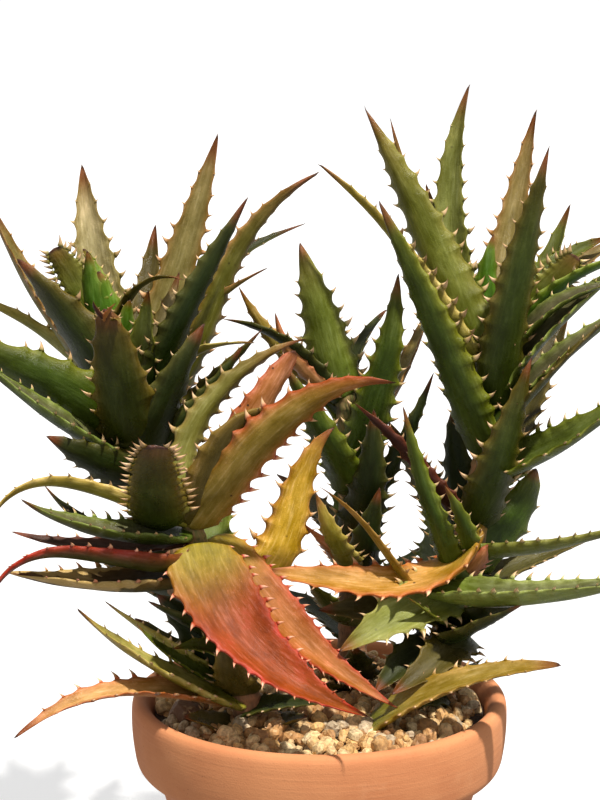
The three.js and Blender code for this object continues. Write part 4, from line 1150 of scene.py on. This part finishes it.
def stone_places(rng):
    """Centres on a jittered triangular grid inside the wall, in a full layer and a thinner one
    above it."""
    centres = []
    for layer, keep in STONE_LAYERS:
        n = int(2 * BED_RADIUS / STONE_SPACING) + 3
        i, j = np.meshgrid(np.arange(-n, n), np.arange(-n, n), indexing="ij")
        grid = np.stack([(i + 0.5 * (j % 2)) * STONE_SPACING, j * STONE_SPACING * 0.866], -1).reshape(-1, 2)
        jitter = rng.uniform(-STONE_JITTER, STONE_JITTER, grid.shape)
        grid = grid + layer * STONE_SPACING * 0.5 + jitter * STONE_SPACING
        r = np.hypot(grid[:, 0], grid[:, 1])
        grid = grid[(r < BED_RADIUS - WALL_GAP) & (rng.random(len(grid)) < keep)]
        height = mound(np.hypot(grid[:, 0], grid[:, 1])) + layer * LAYER_RISE
        height = height + rng.uniform(0.2, 1.8, len(grid)) * MM
        centres.append(np.column_stack([grid, height]))
    return np.concatenate(centres)


stone_centres = stone_places(rng)
print("stones:", len(stone_centres))

# %% Stone shapes
STONE_RADIUS = 5.5 * MM
STONE_CUTS = 7         # broken faces on each stone
STONE_COLOURS = [
    (226, 186, 126), (216, 172, 108), (200, 152, 92), (228, 194, 138), (182, 134, 80),
    (234, 208, 158), (190, 170, 138), (198, 148, 92), (228, 192, 138), (168, 122, 76),
]


def stone_parts(centres, rng):
    """Each stone's radius is cut back to the nearest of its few random planes; then it is
    stretched, turned and put in its place, in a colour of its own."""
    ball, quads = cube_ball(3)
    count = len(centres)
    size = rng.gamma(18, 1 / 18, count) * STONE_RADIUS
    stretch = [rng.uniform(low, high, count) for low, high in ((0.95, 1.3), (0.8, 1.0), (0.62, 0.85))]
    cuts = unit(rng.normal(size=(count, STONE_CUTS, 3)))
    reach = rng.uniform(0.66, 0.92, (count, 1, STONE_CUTS))
    towards = np.clip(np.einsum("pj,ncj->npc", ball, cuts), 0.05, None)
    radius = np.minimum(1.02, (reach / towards).min(2)) * (1 + rng.uniform(-0.04, 0.04, (count, len(ball))))
    local = ball[None] * radius[..., None] * (size[:, None] * np.stack(stretch, -1))[:, None]
    turned = np.einsum("nij,nkj->nki", random_turns(rng, count), local)
    palette = linear(STONE_COLOURS)
    tone = palette[rng.integers(0, len(palette), count)] * rng.uniform(0.8, 1.12, (count, 1))
    shift = (np.arange(count) * len(ball))[:, None, None]
    points = (turned + centres[:, None]).reshape(-1, 3)
    return [{"points": points, "quads": (quads[None] + shift).reshape(-1, 4),
             "tris": np.zeros((0, 3), int), "tone": np.repeat(tone, len(ball), 0)}]


# %% Stone material
def stone_material():
    """Each stone's own tone, with dark veins and a pale crust."""
    material, shader = new_material("pea gravel")
    tone = add(material, "Attribute", 0, {"attribute_name": "tone"})
    place = add(material, "TexCoord", 3)
    veins = noise(material, place, 420, 5, 0.6)
    colour = mix(material, ramp(material, veins, 0.36, 0.62, 0.55, 0.0), tone, rgb(112, 78, 48))
    pale = noise(material, place, 240, 4)
    colour = mix(material, ramp(material, pale, 0.55, 0.72, 0.0, 0.4), colour, rgb(230, 204, 158))
    set_input(shader.inputs["Base Color"], colour)
    set_input(shader.inputs["Roughness"], ramp(material, veins, 0.3, 0.7, 0.55, 0.8))
    set_input(shader.inputs["Normal"], add(material, "Bump", Height=veins, Strength=0.45, Distance=0.0008))
    return material


pebble = stone_material()
stones = make_piece("gravel_stones", stone_parts(stone_centres, rng), pebble, smooth=False)
print("stone faces:", len(stones.data.polygons))

# %% [markdown]
# ## The brown rock
# One larger stone lies at the left. It is the same ball with many more points, its radius broken by
# flat facets: for each facet direction the surface is cut back to a plane. It could be sculpted, but
# planes are enough for so small a stone.

# %% Rock
ROCK_TONE = (104, 72, 48)
ROCK_CUTS = 26


def rock_parts(rng):
    """A ball cut by random planes: the radius in each direction is the least of the planes' reach."""
    low, high = (np.array(corner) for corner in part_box("rock"))
    ball, quads = cube_ball(24)
    normals = unit(rng.normal(size=(ROCK_CUTS, 3)))
    reach = rng.uniform(0.84, 1.02, ROCK_CUTS)
    towards = np.clip(ball @ normals.T, 0.05, None)
    radius = np.minimum(1.03, (reach / towards).min(1))
    ripple = 0.012 * np.sin(ball @ np.array([19.0, 7.0, 13.0])) * np.sin(ball @ np.array([-9.0, 17.0, 5.0]))
    points = (low + high) / 2 + ball * (radius + ripple)[:, None] * (high - low) / 2
    return [{"points": points, "quads": quads, "tris": np.zeros((0, 3), int),
             "tone": np.tile(linear(ROCK_TONE), (len(points), 1))}]


rock = make_piece("brown_rock", rock_parts(rng), pebble)
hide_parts("rock")
print("rock faces:", len(rock.data.polygons))

# %% [markdown]
# ## Stage, light and camera
# A pale floor, a white surround that fills the shadows, and one key light from the upper right whose
# shadows are slightly soft at their edges. It could be an area light, but a sun light is as strong
# on the far leaves as on the near ones. The floor shines a little of its own, so it is hidden from
# the rays that light the plant. The camera looks a little down on the pot, through a long lens.

# %% Floor
FLOOR_GLOW = 0.56


def floor_material():
    """Matte grey that also shines a little, so that the shadow on it stays pale."""
    material, shader = new_material("pale floor")
    cloud = noise(material, add(material, "TexCoord", 3), 3, 2)
    colour = mix(material, ramp(material, cloud, 0.3, 0.7), (0.38, 0.38, 0.38), (0.40, 0.40, 0.40))
    set_input(shader.inputs["Base Color"], colour)
    shader.inputs["Roughness"].default_value = 0.95
    shader.inputs["Emission Color"].default_value = (1.0, 1.0, 1.0, 1.0)
    shader.inputs["Emission Strength"].default_value = FLOOR_GLOW
    return material


bpy.ops.mesh.primitive_plane_add(size=30)
floor = bpy.context.object
floor.name = "floor"
floor.data.materials.append(floor_material())
floor.visible_diffuse = False
floor.visible_glossy = False
print("floor size in m:", floor.dimensions[0])

# %% Surround: seen as white, but it lights the plant only a little
WHITE_SEEN = 1.05
FILL = 0.56
world = bpy.data.worlds.new("surround")
bpy.context.scene.world = world
world.use_nodes = True
background = world.node_tree.nodes["Background"]
path = world.node_tree.nodes.new("ShaderNodeLightPath")
strength = world.node_tree.nodes.new("ShaderNodeMapRange")
strength.inputs["To Min"].default_value = FILL
strength.inputs["To Max"].default_value = WHITE_SEEN
world.node_tree.links.new(path.outputs["Is Camera Ray"], strength.inputs["Value"])
world.node_tree.links.new(strength.outputs["Result"], background.inputs["Strength"])
background.inputs["Color"].default_value = (1.0, 1.0, 1.0, 1.0)
print("surround seen and as a light:", WHITE_SEEN, FILL)

# %% Key light from the upper right and front
KEY_STRENGTH = 5.7
KEY_SPREAD = 2.5       # angle of the light's disc, in degrees, as are the next two
KEY_AZIMUTH = -54
KEY_ELEVATION = 62
key_light = bpy.data.lights.new("key", "SUN")
key_light.energy = KEY_STRENGTH
key_light.angle = math.radians(KEY_SPREAD)
key_light.color = (1.0, 0.97, 0.92)
key = bpy.data.objects.new("key", key_light)
key.rotation_euler = (0, math.radians(90 - KEY_ELEVATION), math.radians(KEY_AZIMUTH))
bpy.context.scene.collection.objects.link(key)
print("key light:", KEY_STRENGTH)

# %% Camera
FOCAL_MM = 87.75
PITCH_DOWN = 10.2
CAMERA_PLACE = (-0.013, -1.2795, 0.583)
camera_data = bpy.data.cameras.new("camera")
camera_data.lens = FOCAL_MM
camera_data.sensor_width = 36
camera = bpy.data.objects.new("camera", camera_data)
camera.location = CAMERA_PLACE
camera.rotation_euler = (math.radians(90 - PITCH_DOWN), 0, 0)
bpy.context.scene.collection.objects.link(camera)
bpy.context.scene.camera = camera
bpy.context.scene.view_settings.view_transform = "Standard"
print("camera:", CAMERA_PLACE, "lens:", FOCAL_MM)
